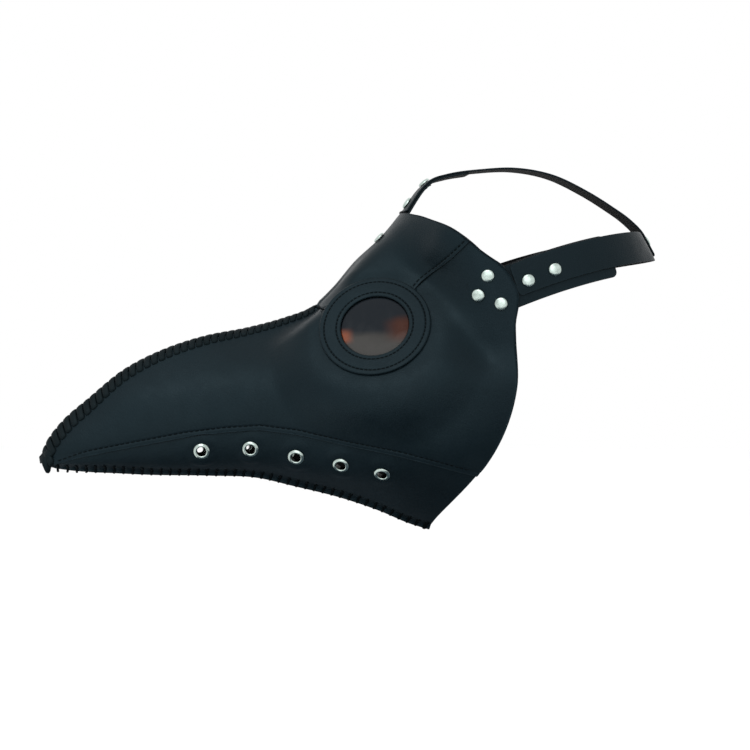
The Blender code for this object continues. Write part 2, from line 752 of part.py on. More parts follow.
side_hinge = hinge_origin(band_frame, hinge_s, STRAP_OFFSET)
tab_left = ribbon("tab_left", LEATHER_STRAP, band_frame, band_at_x(TAB_FRONT), band_at_x(TAB_REAR),
                  -TAB_LOW, TAB_HIGH, TAB_OFFSET, 22, 6.0, 5.0)
end_left = ribbon("strap_end_left", LEATHER_STRAP, band_frame, band_at_x(STRAP_FRONT), hinge_s,
                  -STRAP_HALF, STRAP_HALF, STRAP_OFFSET, 16, 3.0, 0.0, origin=side_hinge)
back = ribbon("back_strap", LEATHER_STRAP, band_frame, hinge_s + GAP, -hinge_s - GAP,
              -STRAP_HALF, STRAP_HALF, STRAP_OFFSET, 34)
tab_right = mirrored(tab_left, "tab_right")
end_right = mirrored(end_left, "strap_end_right")
end_right.location = Vector(side_hinge) * Vector((1, -1, 1)) * MM

# top tab and strap: the table line is the tab's outer face
TOP_TAB_OFFSET = -LEATHER
TOP_OFFSET = GAP


def flare(s):
    """The front end of the top strap stands off where the forehead panel passes under it."""
    reach = TOP_SNAP_GIRTH[0] - 5.5
    return TOP_FLARE * float(np.clip((reach - s) / reach, 0.0, 1.0)) ** 1.5


top_start = float(TOP_RUN[0]) + 0.5
top_end = float(TOP_RUN[-1]) - 0.5
top_hinge = hinge_origin(top_frame, TOP_HINGE_GIRTH, TOP_OFFSET)
tab_top = ribbon("tab_top", LEATHER_STRAP, top_frame, top_start, TOP_TAB_GIRTH,
                 -TOP_TAB_HALF, TOP_TAB_HALF, TOP_TAB_OFFSET, 22, 5.0, 5.0, drop=forehead_drop)
end_top = ribbon("strap_end_top", LEATHER_STRAP, top_frame, 1.2, TOP_HINGE_GIRTH,
                 -TOP_HALF, TOP_HALF, TOP_OFFSET, 16, 3.0, 0.0,
                 origin=top_hinge, lift=flare, drop=forehead_drop)
top = ribbon("top_strap", LEATHER_STRAP, top_frame, TOP_HINGE_GIRTH + GAP, top_end,
             -TOP_HALF, TOP_HALF, TOP_OFFSET, 34, 0.0, 3.0)

# ---------------------------------------------------------------- snaps
CAP_PROFILE = ((0, 3.7), (2.6, 3.45), (4.3, 2.8), (5.0, 2.15), (5.0, 1.8), (3.2, 1.8), (3.2, 0.0),
               (2.35, 0.0), (2.35, 1.5), (0, 1.5))
STUD_PROFILE = ((0, 0.8), (1.6, 0.8), (2.0, 0.4), (2.0, 0.0), (1.2, 0.0), (1.2, -2.4), (3.5, -2.4),
                (3.5, -2.9), (0, -2.9))
CAP_HOLE = 3.55
STUD_HOLE = 1.55
SNAP_NAMES = ("front", "rear")


def ribbon_spot(frame_at, s, offset, width=0.0):
    point, wide, out = frame_at(np.array([s]))
    return frame_matrix(point[0] + width * wide[0] + offset * out[0], out[0], wide[0])


def add_snap(label, place, cap_spot, stud_spot, strap_end):
    cap = lathe("snap_cap_%s_%s" % (label, place), NICKEL, CAP_PROFILE, 14, False)
    bpy.context.view_layer.update()
    cap.parent = strap_end
    cap.matrix_parent_inverse = Matrix.Identity(4)
    cap.matrix_local = Matrix.Translation(-strap_end.location) @ cap_spot
    stud = lathe("snap_stud_%s_%s" % (label, place), NICKEL, STUD_PROFILE, 10, False)
    stud.matrix_world = stud_spot


def add_snaps(label, frame_at, spots, strap_offset, tab_outer, strap_end, tab, flip):
    """Press studs at (running length, width) spots through a strap end and the tab under it."""
    cap_holes, stud_holes = [], []
    for place, (s, width) in zip(SNAP_NAMES, spots):
        cap_spot = ribbon_spot(frame_at, s, strap_offset, width)
        stud_spot = ribbon_spot(frame_at, s, tab_outer + GAP, width)
        if flip:
            cap_spot, stud_spot = mirror_frame(cap_spot), mirror_frame(stud_spot)
        add_snap(label, place, cap_spot, stud_spot, strap_end)
        cap_holes.append(Matrix.Translation(-strap_end.location) @ cap_spot)
        stud_holes.append(stud_spot)
    cap_cutter = round_cutter("cap_holes_" + label, cap_holes, CAP_HOLE, 8.0)
    cap_cutter.location = strap_end.location
    cut(strap_end, cap_cutter)
    cut(tab, round_cutter("stud_holes_" + label, stud_holes, STUD_HOLE, 10.0))


side_snaps = [(band_at_x(x), drop) for x, drop in zip(SNAPS, SNAP_DROP)]
add_snaps("left", band_frame, side_snaps, STRAP_OFFSET, TAB_OFFSET + LEATHER, end_left, tab_left, False)
add_snaps("right", band_frame, side_snaps, STRAP_OFFSET, TAB_OFFSET + LEATHER, end_right, tab_right, True)
add_snaps("top", top_frame, [(s, 0.0) for s in TOP_SNAP_GIRTH], TOP_OFFSET, 0.0, end_top, tab_top, False)

# ---------------------------------------------------------------- rivets
RIVET_SHANK = 2.0
RIVET_HOLE = 2.35


def rivet_profile(grip):
    """Dome head above z = 0, shank and foot below the gripped layers."""
    return ((0, 1.9), (2.6, 1.65), (4.3, 1.0), (RIVET_RADIUS, 0.35), (RIVET_RADIUS, 0.0), (RIVET_SHANK, 0.0),
            (RIVET_SHANK, -grip), (4.2, -grip), (4.2, -grip - 0.7), (0, -grip - 0.7))


temple_spots = []
for x, z in TEMPLE_RIVETS:
    lean = math.radians(BAND_LEAN[0])
    centre = x
    for _ in range(6):
        width = (z - band_height(centre)) / math.cos(lean)
        centre = x + width * math.sin(lean)
    temple_spots.append(ribbon_spot(band_frame, band_at_x(centre), LEATHER + GAP + 0.15, width))

GRIP = 2 * LEATHER + 5 * GAP + 0.5
for side, label in ((-1, "left"), (1, "right")):
    spots = temple_spots if side < 0 else [mirror_frame(spot) for spot in temple_spots]
    for number, spot in enumerate(spots, 1):
        rivet = lathe("temple_rivet_%s_%d" % (label, number), NICKEL, rivet_profile(GRIP), 14, False)
        rivet.matrix_world = spot
    punch = round_cutter("temple_holes_" + label, spots, RIVET_HOLE, 16.0)
    cut(upper_left if side < 0 else upper_right, punch)
    cut(tab_left if side < 0 else tab_right, punch)

rivet_centre = shell_at(np.array([FOREHEAD_RIVET]), np.array([0.0]), np.array([FOREHEAD_LEVEL + LEATHER]))[0]
rivet_normal = shell_normal(np.array([FOREHEAD_RIVET]), np.array([0.0]))[0] * (1, 0, 1)
rivet_spot = frame_matrix(rivet_centre + (GAP + 0.25) * rivet_normal, rivet_normal, (0, 1, 0))
lathe("forehead_rivet", NICKEL, rivet_profile(GRIP + 0.5), 14, False).matrix_world = rivet_spot
forehead_punch = round_cutter("forehead_hole", [rivet_spot], RIVET_HOLE, 16.0)
cut(forehead, forehead_punch)
cut(tab_top, forehead_punch)

REAR_RIVET_SPREAD = 6.5
REAR_RIVET_GIRTH = top_end - 13.0
rear_spots = [ribbon_spot(top_frame, REAR_RIVET_GIRTH, TOP_OFFSET + LEATHER + GAP, y)
              for y in (-REAR_RIVET_SPREAD, REAR_RIVET_SPREAD)]
for spot, label in zip(rear_spots, ("left", "right")):
    lathe("rear_rivet_" + label, NICKEL, rivet_profile(GRIP + 1.9), 14, False).matrix_world = spot
rear_punch = round_cutter("rear_holes", rear_spots, RIVET_HOLE, 16.0)
cut(top, rear_punch)
cut(back, rear_punch)


# ---------------------------------------------------------------- lacing cords
def lacing(name, points, radii):
    """Round cord through the points with changing radius, closed at both ends."""
    curve = bpy.data.curves.new(name, "CURVE")
    curve.dimensions = "3D"
    curve.bevel_depth = MM
    curve.bevel_resolution = 1
    curve.use_fill_caps = True
    spline = curve.splines.new("POLY")
    spline.points.add(len(points) - 1)
    for knot, (x, z), radius in zip(spline.points, points, radii):
        knot.co = (x * MM, 0.0, z * MM, 1.0)
        knot.radius = radius
    holder = bpy.data.objects.new(name + "_line", curve)
    mesh = bpy.data.meshes.new_from_object(holder)
    bpy.data.objects.remove(holder, do_unlink=True)
    tidy = bmesh.new()
    tidy.from_mesh(mesh)
    bmesh.ops.remove_doubles(tidy, verts=list(tidy.verts), dist=0.00001)
    bmesh.ops.recalc_face_normals(tidy, faces=list(tidy.faces))
    for face in tidy.faces:
        face.smooth = True
    tidy.to_mesh(mesh)
    tidy.free()
    mesh.name = name
    return new_object(name, mesh, CORD_BLACK)


def groove_line(stations, v, level, radius_at):
    """Centres of a cord resting in the groove between the left and right panel edges."""
    points, radii = [], []
    for u in stations:
        here = shell(u, v)
        normal = shell_normal(np.array([u]), np.array([v]))[0]
        radius = radius_at(u)
        spread = abs(float(here[1]))
        lean = max(abs(normal[1]), 0.3)
        rise = math.hypot(normal[0], normal[2])
        tall = (radius + GAP + 0.1 - spread * rise) / lean
        tall = max(tall, 0.4)
        reach = level + LEATHER
        if tall * rise > reach:
            flat = abs(here[1]) + reach * lean
            tall = reach * rise + math.sqrt(max((radius + GAP + 0.1) ** 2 - flat ** 2, 0.0))
        side = np.array((normal[0], normal[2])) / rise
        points.append((here[0] + side[0] * tall, here[2] + side[1] * tall))
        radii.append(radius)
    return points, radii


def ridge_radius(u):
    return RIDGE_RADIUS + (TIP_RADIUS - RIDGE_RADIUS) * float(falloff(u, 0.0, 0.25))


def keel_radius(u):
    return KEEL_RADIUS + (CHIN_RADIUS - KEEL_RADIUS) * float(falloff(1 - u, 0.0, 0.06))


ridge_points, ridge_radii = groove_line(np.linspace(0.012, BRIDGE - 0.004, 34), 0.0, UPPER_LEVEL,
                                        ridge_radius)
nose = [(-387.0, -100.6), (-386.3, -104.8)]
lacing("ridge_lacing", nose[::-1] + ridge_points, [2.4, 2.6] + ridge_radii)
keel_points, keel_radii = groove_line(np.linspace(0.02, 0.998, 40), 1.0, LOWER_LEVEL, keel_radius)
lacing("keel_lacing", keel_points, keel_radii)
bpy.context.view_layer.update()
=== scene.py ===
"""Looks of the plague doctor mask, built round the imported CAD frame.

Lengths in the constants are millimetres and angles are degrees, unless a comment says otherwise, and
every mesh is written in metres. Places of the floor, the card, the lights and the camera are metres.
The beak points to -X, up is +Z and the wearer's left side is -Y. Pieces are made for the left side
and mirrored. The shell of the mask is one surface with two parameters, u from beak tip to rear edge
and v from ridge to keel, and every panel, seam and lace is placed on it.
"""

import math

import bmesh
import bpy
import numpy as np
from mathutils import Matrix, Vector


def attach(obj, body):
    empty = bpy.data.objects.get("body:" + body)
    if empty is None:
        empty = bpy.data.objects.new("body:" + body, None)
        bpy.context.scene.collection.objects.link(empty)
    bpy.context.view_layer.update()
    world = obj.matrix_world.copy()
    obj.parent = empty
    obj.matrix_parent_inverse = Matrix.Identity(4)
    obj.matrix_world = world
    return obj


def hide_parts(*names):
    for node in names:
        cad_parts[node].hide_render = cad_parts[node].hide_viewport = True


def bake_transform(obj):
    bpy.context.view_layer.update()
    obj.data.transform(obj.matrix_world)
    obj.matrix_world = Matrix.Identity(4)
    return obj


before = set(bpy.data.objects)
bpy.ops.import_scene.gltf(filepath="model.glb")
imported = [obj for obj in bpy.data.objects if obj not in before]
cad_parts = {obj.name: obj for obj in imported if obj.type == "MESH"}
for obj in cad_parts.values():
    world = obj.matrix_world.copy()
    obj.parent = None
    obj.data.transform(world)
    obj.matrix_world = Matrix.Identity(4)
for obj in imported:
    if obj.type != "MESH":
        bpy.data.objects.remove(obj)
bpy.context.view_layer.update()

MM = 0.001
GAP = 0.3                    # clearance between touching pieces
LEATHER = 1.5                # sheet thickness of the panels and straps

# levels above the inner shell surface (outer piece on top at every lap)
LAP_GAP = 0.7
LOWER_LEVEL = 0.0
UPPER_LEVEL = LOWER_LEVEL + LEATHER + LAP_GAP
FOREHEAD_LEVEL = UPPER_LEVEL + LEATHER + LAP_GAP + 0.6
RING_LEVEL = UPPER_LEVEL + LEATHER + LAP_GAP

# centre-line profiles of the inner shell, beak tip first (x, z)
TOP_LINE = ((-382.5, -104), (-377, -90), (-367, -76.5), (-347, -58.5), (-320, -36), (-289, -20), (-259, -10),
            (-225, -3), (-196, 5), (-173, 14), (-154, 30), (-135, 51), (-116, 69), (-98.5, 89.5))
BOTTOM_LINE = ((-381.5, -107.5), (-365, -108.5), (-342, -109), (-303, -111), (-256.5, -112), (-218, -114),
               (-188, -121), (-149, -131), (-120, -141), (-94, -152), (-79.5, -156.5))

# cross-sections along the beak and face, from tip (0) to rear edge (1)
STATION = (0.0, 0.08, 0.25, 0.5, 0.7, 0.85, 1.0)
HALF_WIDTH = (2.6, 8.5, 18.0, 31.5, 50.0, 74.0, 80.0)
WIDEST_HEIGHT = (0.45, 0.42, 0.42, 0.45, 0.48, 0.49, 0.60)   # share of the section height
CROWN_ANGLE = (60, 60, 56, 52, 46, 20, 0)                    # fall of the surface beside the ridge
KEEL_ANGLE = (50, 34, 26, 25, 26, 26, 20)                    # rise of the surface beside the keel
TOP_FULLNESS = (0.40, 0.42, 0.45, 0.46, 0.44, 0.44, 0.72)
KEEL_FULLNESS = (0.45, 0.50, 0.50, 0.50, 0.50, 0.50, 0.50)
SIDE_DROP = (0.50, 0.70, 0.82, 0.86, 0.86, 0.80, 0.50)       # how upright the sides stay below mid height
WRAP_DEPTH = (0, 0, 0, 0, 15, 40, 66)                        # how far the sides sweep back
WRAP_WIDTH = 80.0
WRAP_POWER = 2.2
KEEL_HALF_GAP = 0.55
TOP_SHARE = 0.55                                             # girth parameter at the widest line
REAR_CORNER = ((-8, 0), (4, 1), (17, 5.5), (28, 9), (39, 8.5), (50, 6), (54, 3), (60, 0))  # (z, extra x)

BRIDGE = 0.707               # station where the beak ridge meets the forehead panel

# seam lines in side view (x, z)
LOWER_SEAM = ((-400, -110), (-374, -104), (-358, -100), (-324, -93.3), (-275, -84), (-246, -80.4),
              (-218, -78.5), (-190, -82), (-157, -88.4), (-135, -93), (-113, -98), (-84, -105), (-46, -115),
              (0, -130))
FOREHEAD_SEAM = ((-174, 20), (-166, 13), (-150, 15), (-131, 21), (-99, 28), (-80, 46.5), (-58, 69),
                 (-40, 88))
LAP = 8.0                    # hidden width of a lapped edge
SEAM_GAP = 1.5               # where the forehead seam butts under the ring

# eyes
EYE_CENTRE = np.array((-130.1, -47.5, -0.4))
EYE_NORMAL = (-0.27, -0.825, 0.496)
EYE_FLAT = 49.0              # radius that lies flat under the ring
EYE_BLEND = 92.0             # the leather settles slowly round the ring
CAD_EYE_BLEND = 74.0         # the same radius on the CAD's shell, where the eyelets were placed
EYE_DEPTH = (22.0, 40.0)     # the flat fades out this far above and below it
EYE_SIDE = (-20.0, -2.0)     # and beside the mirror plane
RING_RADIUS = 43.5
RING_THICKNESS = 1.6
LENS_HOLE = 27.0
LENS_RADIUS = 31.0
LENS_WINDOW = 26.4           # the raised middle of the lens stands in the window
LENS_RAISE = 2.0

# eyelets along the lower panel, side view (x, z)
EYELETS = ((-263.5, -94.8), (-225.8, -93), (-190.8, -99), (-156.6, -105), (-125.3, -111.6))
EYELET_RADIUS = 6.3
EYELET_BORE = 3.65
EYELET_BARREL = 4.3
EYELET_FLAT = (8.0, 15.0)    # the crimped eyelet pulls the leather flat around it

# head strap band
BAND_LENGTH = 95.0           # half length of the band outline in plan
BAND_WIDTH = 82.0            # half width
BAND_POWER = 2.3
BAND_RISE = (46.3, 0.335, -0.00125)   # height of the band centre line: a + b x + c x2
BAND_LEAN = (20.0, 30.0)     # at the sides, at the back
TEMPLE = (-41.0, 31.0)       # side view centre of the area where the panel follows the band
TEMPLE_FLAT = (42.0, 76.0)
STRAP_HALF = 12.5
TAB_LOW = 20.0
TAB_HIGH = 13.2
TAB_FRONT = -60.0
TAB_REAR = 50.0
STRAP_FRONT = -27.0
STRAP_HINGE = 44.0
SNAPS = (-18.0, 2.9)         # x of the snap caps
SNAP_DROP = (-3.6, -2.4)     # below the middle of the strap
TEMPLE_RIVETS = ((-47.0, 40.2), (-53.5, 25.4), (-36.8, 18.8))
RIVET_RADIUS = 5.0

# top strap, side view (x, z) of the tab's outer face; it starts inside the forehead panel
TOP_PATH = ((-97.5, 98.5), (-93.4, 104.5), (-86, 113.5), (-78, 119.5), (-67.5, 122.8), (-40, 127),
            (-12, 128.5), (18, 123.5), (45, 111.5), (67, 98.5), (81.5, 88.5), (91.3, 79.0), (97.3, 68.6),
            (102.4, 59.5))
TOP_TAB_START = 0.885        # station of the tab's front end
FOREHEAD_RIVET = 0.925
TOP_HALF = 12.5
TOP_TAB_HALF = 13.5
TOP_SNAP_GIRTH = (10.0, 31.0)   # beyond the forehead panel edge
TOP_TAB_GIRTH = 66.0
TOP_HINGE_GIRTH = 56.0
TOP_FLARE = 2.2

SIDES = ((-1, "left"), (1, "right"))
WORDS = ("front", "rear")    # the two press studs of a strap end


# ---------------------------------------------------------------- curves and falloffs
def smooth(knots, values, x):
    """Smooth curve through the knots, for scalars or points."""
    knots = np.asarray(knots, float)
    values = np.asarray(values, float)
    x = np.clip(np.asarray(x, float), knots[0], knots[-1])
    slopes = np.gradient(values, knots, axis=0)
    left = np.clip(np.searchsorted(knots, x, side="right") - 1, 0, len(knots) - 2)
    span = knots[left + 1] - knots[left]
    t = (x - knots[left]) / span
    if values.ndim > 1:
        t = t[..., None]
        span = span[..., None]
    start = values[left] * (1 + 2 * t) * (1 - t) ** 2 + slopes[left] * span * t * (1 - t) ** 2
    end = values[left + 1] * t * t * (3 - 2 * t) - slopes[left + 1] * span * t * t * (1 - t)
    return start + end


def falloff(distance, full, none):
    """One inside the radius full, zero outside the radius none."""
    t = np.clip((none - distance) / (none - full), 0.0, 1.0)
    return t * t * (3 - 2 * t)


def unit(vectors):
    return vectors / np.maximum(np.linalg.norm(vectors, axis=-1, keepdims=True), 1e-9)


def running(points):
    """Running length at each point of a row."""
    return np.concatenate(([0.0], np.cumsum(np.linalg.norm(np.diff(points, axis=0), axis=1))))


def at_length(s, run, points):
    """Points of a row at the running lengths s."""
    return np.stack([np.interp(s, run, points[:, i]) for i in range(3)], axis=-1)


def along(points):
    """Chord-length stations from 0 to 1 of a row of points."""
    run = running(np.asarray(points, float))
    return run / run[-1]


TOP_STATIONS = along(TOP_LINE)
BOTTOM_STATIONS = along(BOTTOM_LINE)
EYE_FACING = np.asarray(EYE_NORMAL) / np.linalg.norm(EYE_NORMAL)


# ---------------------------------------------------------------- strap band surface
def band_height(x):
    return BAND_RISE[0] + BAND_RISE[1] * x + BAND_RISE[2] * x * x


def band_half_width(x):
    share = np.clip(np.abs(x) / BAND_LENGTH, 0.0, 1.0)
    return BAND_WIDTH * (1 - share ** BAND_POWER) ** (1 / BAND_POWER)


def band_lean(x):
    share = np.clip((x - 30.0) / (BAND_LENGTH - 30.0), 0.0, 1.0)
    return np.radians(BAND_LEAN[0] + (BAND_LEAN[1] - BAND_LEAN[0]) * share * share)


def band_across(x, z):
    """Centre-line x of a side-view position, and its distance across the band."""
    lean = math.radians(BAND_LEAN[0])
    centre = x
    for _ in range(6):
        rise = (z - band_height(centre)) / math.cos(lean)
        centre = x + rise * math.sin(lean)
    return centre, rise


def band_cover(x, z):
    """Half width of the band surface at a side-view position."""
    return band_half_width(band_across(x, z)[0])


def band_table():
    """Centre-line points of the whole band with running length, zero at the back."""
    quarter = np.linspace(0.0, 1.0, 1500) ** 0.8 * math.radians(132.0)
    x = BAND_LENGTH * np.cos(quarter)
    y = band_half_width(x)
    left = np.stack([x, -y, band_height(x)], axis=1)
    right = left * (1, -1, 1)
    points = np.concatenate([left[::-1], right[1:]])
    run = running(points)
    return points, run - run[len(left) - 1]


BAND_POINTS, BAND_RUN = band_table()


def band_at_x(x):
    """Running length on the left side where the centre line has this x."""
    count = len(BAND_POINTS) // 2 + 1
    return float(np.interp(x, BAND_POINTS[:count, 0], BAND_RUN[:count]))


def band_frame(s):
    """Point, width direction and outward direction of the band at running length s."""
    s = np.asarray(s, float)
    behind, point, ahead = (at_length(s + step, BAND_RUN, BAND_POINTS) for step in (-2.0, 0.0, 2.0))
    lean = band_lean(point[..., 0])
    wide = np.stack([-np.sin(lean), np.zeros_like(lean), np.cos(lean)], axis=-1)
    return point, wide, unit(np.cross(ahead - behind, wide))


# ---------------------------------------------------------------- shell surface
EYELET_PLANES = []


def shell_section(u, v):
    """Half width and height share of the section at girth parameter v."""
    width = smooth(STATION, HALF_WIDTH, u)
    widest = smooth(STATION, WIDEST_HEIGHT, u)
    crown = np.radians(smooth(STATION, CROWN_ANGLE, u))
    keel = np.radians(smooth(STATION, KEEL_ANGLE, u))
    top_full = smooth(STATION, TOP_FULLNESS, u)
    low_full = smooth(STATION, KEEL_FULLNESS, u)
    drop = smooth(STATION, SIDE_DROP, u)
    top = smooth(TOP_STATIONS, TOP_LINE, u)
    bottom = smooth(BOTTOM_STATIONS, BOTTOM_LINE, u)
    height = np.linalg.norm(top - bottom, axis=-1)
    upper = v < TOP_SHARE
    t = np.where(upper, v / TOP_SHARE, (v - TOP_SHARE) / (1 - TOP_SHARE))
    above = height * (1 - widest)
    below = height * widest
    reach_top = top_full * (width * np.cos(crown) + above * np.sin(crown))
    reach_low = low_full * (width * np.cos(keel) + below * np.sin(keel))
    y_ctrl = np.where(upper, (0 * u, reach_top * np.cos(crown), width, width),
                      (width, width, KEEL_HALF_GAP + reach_low * np.cos(keel), KEEL_HALF_GAP + 0 * u))
    h_ctrl = np.where(upper, (height, height - reach_top * np.sin(crown), below + top_full * above, below),
                      (below, below - drop * below, reach_low * np.sin(keel), 0 * u))
    weight = ((1 - t) ** 3, 3 * t * (1 - t) ** 2, 3 * t * t * (1 - t), t ** 3)
    y = sum(w * c for w, c in zip(weight, y_ctrl))
    share = sum(w * c for w, c in zip(weight, h_ctrl)) / height
    return y, share, top, bottom


def shell(u, v, eye_blend=EYE_BLEND):
    """Points of the left inner shell surface; u from tip to rear edge, v from ridge to keel."""
    u, v = np.broadcast_arrays(np.asarray(u, float), np.asarray(v, float))
    y, share, top, bottom = shell_section(u, v)
    chord = bottom + share[..., None] * (top - bottom)
    z = chord[..., 1]
    corner = smooth([k[0] for k in REAR_CORNER], [k[1] for k in REAR_CORNER], z)
    near_rear = np.clip((u - 0.86) / 0.14, 0.0, 1.0) ** 2
    x = chord[..., 0] + smooth(STATION, WRAP_DEPTH, u) * (y / WRAP_WIDTH) ** WRAP_POWER + corner * near_rear
    temple = falloff(np.hypot(x - TEMPLE[0], z - TEMPLE[1]), *TEMPLE_FLAT)
    y = y * (1 - temple) + temple * (band_cover(x, z) - UPPER_LEVEL)
    point = np.stack([x, -y, z], axis=-1)
    offset = point - EYE_CENTRE
    lift = offset @ EYE_FACING
    flat = falloff(np.sqrt(np.maximum((offset ** 2).sum(-1) - lift ** 2, 0.0)), EYE_FLAT, eye_blend)
    flat = flat * falloff(np.abs(lift), *EYE_DEPTH) * falloff(-y, *EYE_SIDE)
    point = point - (flat * lift)[..., None] * EYE_FACING
    for centre, facing in EYELET_PLANES:
        offset = point - centre
        lift = offset @ facing
        flat = falloff(np.linalg.norm(offset, axis=-1), *EYELET_FLAT)
        point = point - (flat * lift)[..., None] * facing
    return point


def shell_normal(u, v, eye_blend=EYE_BLEND):
    """Outward unit normals of the left shell surface."""
    step = 0.004
    u = np.clip(u, step, 1 - step)
    v = np.clip(v, step, 1 - step)
    across = shell(u, v + step, eye_blend) - shell(u, v - step, eye_blend)
    length = shell(u + step, v, eye_blend) - shell(u - step, v, eye_blend)
    return unit(np.cross(across, length))


def outward(u, v):
    """Outward unit normals, kept in the mirror plane on the ridge near the rear edge."""
    on_ridge = np.where(np.asarray(v) <= 0.0, 1.0, 0.0) * falloff(1 - np.asarray(u), 0.05, 0.2)
    return unit(shell_normal(u, v) * (1 - on_ridge[..., None] * np.array((0, 1, 0))))


def shell_at(u, v, level):
    """Points at a level above the shell."""
    return shell(u, v) + outward(u, v) * np.asarray(level)[..., None]


GIRTH_V = np.linspace(0.0, 1.0, 161)


def girth(u):
    """Running length down one section, at the values of GIRTH_V."""
    return running(shell(np.full_like(GIRTH_V, u), GIRTH_V))


def v_at_girth(u, s):
    return np.interp(s, girth(u), GIRTH_V)


def seam_v(u, seam):
    """Girth parameter where a section crosses a seam drawn in side view."""
    trial = np.linspace(0.0, 1.0, 241)
    points = shell(np.full_like(trial, u), trial)
    line = np.interp(points[:, 0], [k[0] for k in seam], [k[1] for k in seam])
    below = np.nonzero(points[:, 2] <= line)[0]
    if len(below) == 0:
        return 1.0
    first = below[0]
    if first == 0:
        return 0.0
    high = points[first - 1, 2] - line[first - 1]
    low = points[first, 2] - line[first]
    return float(trial[first - 1] + (trial[first] - trial[first - 1]) * high / (high - low))


def locate(x, z):
    """Station and girth parameter of a side-view position (x, z) below the widest line."""
    u, v = 0.6, 0.5
    span_u, span_v = 0.6, 0.6
    for _ in range(14):
        us = np.clip(np.linspace(u - span_u, u + span_u, 13), 0.0, 1.0)
        vs = np.clip(np.linspace(v - span_v, v + span_v, 13), TOP_SHARE, 1.0)
        grid_u, grid_v = np.meshgrid(us, vs)
        points = shell(grid_u, grid_v, CAD_EYE_BLEND)
        best = np.argmin(np.hypot(points[..., 0] - x, points[..., 2] - z))
        u, v = grid_u.flat[best], grid_v.flat[best]
        span_u *= 0.45
        span_v *= 0.45
    return float(u), float(v)


def eyelet_plane(x, z):
    """Point and outward direction of the shell where an eyelet sits."""
    u, v = locate(x, z)
    return shell(u, v, CAD_EYE_BLEND), shell_normal(u, v, CAD_EYE_BLEND)


EYELET_PLANES.extend([eyelet_plane(x, z) for x, z in EYELETS])


# ---------------------------------------------------------------- looks: numbers
SEAM_PRESS = 0.6             # the sewn edges lie tight on the leather below
FOREHEAD_PRESS = 1.15
SEAM_SETTLE = (1.0, 11.0)    # the pressed border ends this far from the edge
FOREHEAD_SETTLE = (3.0, 20.0)
RIPPLE = 0.22                # soft unevenness of the leather
RIPPLE_CALM = (44.0, 60.0)   # it is pressed out round the eye ring
EDGE_BULGE = 0.45            # rounding of a cut edge
EDGE_WEAR = 1.6              # width of the rubbed border beside it
STRAP_BULGE = 0.4
STRAP_WEAR = 1.2
RIM_ANGLES = (0.9, 0.0, -0.9)   # radians round a cut edge
RIM_SHARE = 0.93             # thickness left in the rounding
RUBBED = (0.5, 0.35)         # wear of the border and of the cut edge
STITCH_INSET = 3.9           # stitch row above the side panel's edge
FOREHEAD_INSET = 2.9
FOREHEAD_EYE = (41.0, 53.0)  # near the ring the forehead panel comes down level with the side panel
GROOVE_DEPTH = 0.42          # the thread pulls the leather in
STITCH_PITCH = 4.2
STITCH_SHARE = 0.76          # thread seen in one pitch
THREAD = 0.42                # half width of the thread
RING_ROWS = (30.2, 39.8)     # radii of the stitch rows
RING_PITCH = 3.4
FIN_START = 11.0             # girth left where the side turns down into the laced keel edge
FIN_DEPTH = 4.8              # the edge below the shell's keel line, before it is drawn up
FIN_LIFT = 1.7               # the laced edge is drawn up this far
PUFF = 0.95                  # swelling of the edge between two laces
KEEL_PITCH = 7.2
KEEL_REACH = 10.4            # length of a lace on the side, from the bottom of the edge
RIDGE_PITCH = (6.9, 5.6)     # at the tip, at the bridge
RIDGE_REACH = (8.2, 3.6)     # length of a lace down the side
RIDGE_HEIGHT = (7.4, 4.9)    # top of the lace over the shell
LACE_WIDE = (2.95, 2.25)     # half widths of the flat lace
LACE_THIN = (1.15, 0.8)      # half thicknesses
FLOOR_LEVEL = -0.42
TINT = (0.56, 0.83, 0.95, 1.0)   # cool shine of the black finish
# the lens's own dark tint, and the painted light of lit things seen through its lower half
LENS_DARK = (0.0085, 0.0115, 0.0150)
LENS_PAINTED_LIGHT = (0.034, 0.033, 0.031)
# painted glints in the lens, orange light seen through it: colour, heights between which it comes and goes,
# and its place fore and aft, in metres
LENS_GLINTS = (((0.200, 0.050, 0.018), (-0.013, -0.007), (-0.004, 0.003), (-0.025, -0.016, 0.85, 0.0)),
               ((0.050, 0.017, 0.010), (-0.014, -0.004), (0.003, 0.011), (0.002, 0.018, 0.0, 0.85)))


# ---------------------------------------------------------------- looks: materials
def nodes_of(name):
    made = bpy.data.materials.new(name)
    made.use_nodes = True
    tree = made.node_tree
    return made, tree, tree.nodes["Principled BSDF"]


def fill_in(node, values):
    """Constants and links on a node's own sockets."""
    for key, value in values.items():
        if isinstance(value, bpy.types.NodeSocket):
            node.id_data.links.new(value, node.inputs[key])
        else:
            node.inputs[key].default_value = value


def object_place(tree, stretch=None):
    """The object's own coordinates, stretched where asked."""
    source = tree.nodes.new("ShaderNodeTexCoord").outputs["Object"]
    if stretch is None:
        return source
    mapping = tree.nodes.new("ShaderNodeMapping")
    fill_in(mapping, {"Vector": source, "Scale": stretch})
    return mapping.outputs["Vector"]


def noise(tree, scale, detail=2.0, roughness=0.5, stretch=None):
    made = tree.nodes.new("ShaderNodeTexNoise")
    fill_in(made, {"Vector": object_place(tree, stretch), "Scale": scale, "Detail": detail,
                   "Roughness": roughness})
    return made.outputs["Fac"]


def cells(tree, scale):
    made = tree.nodes.new("ShaderNodeTexVoronoi")
    fill_in(made, {"Vector": object_place(tree), "Scale": scale})
    return made.outputs["Distance"]


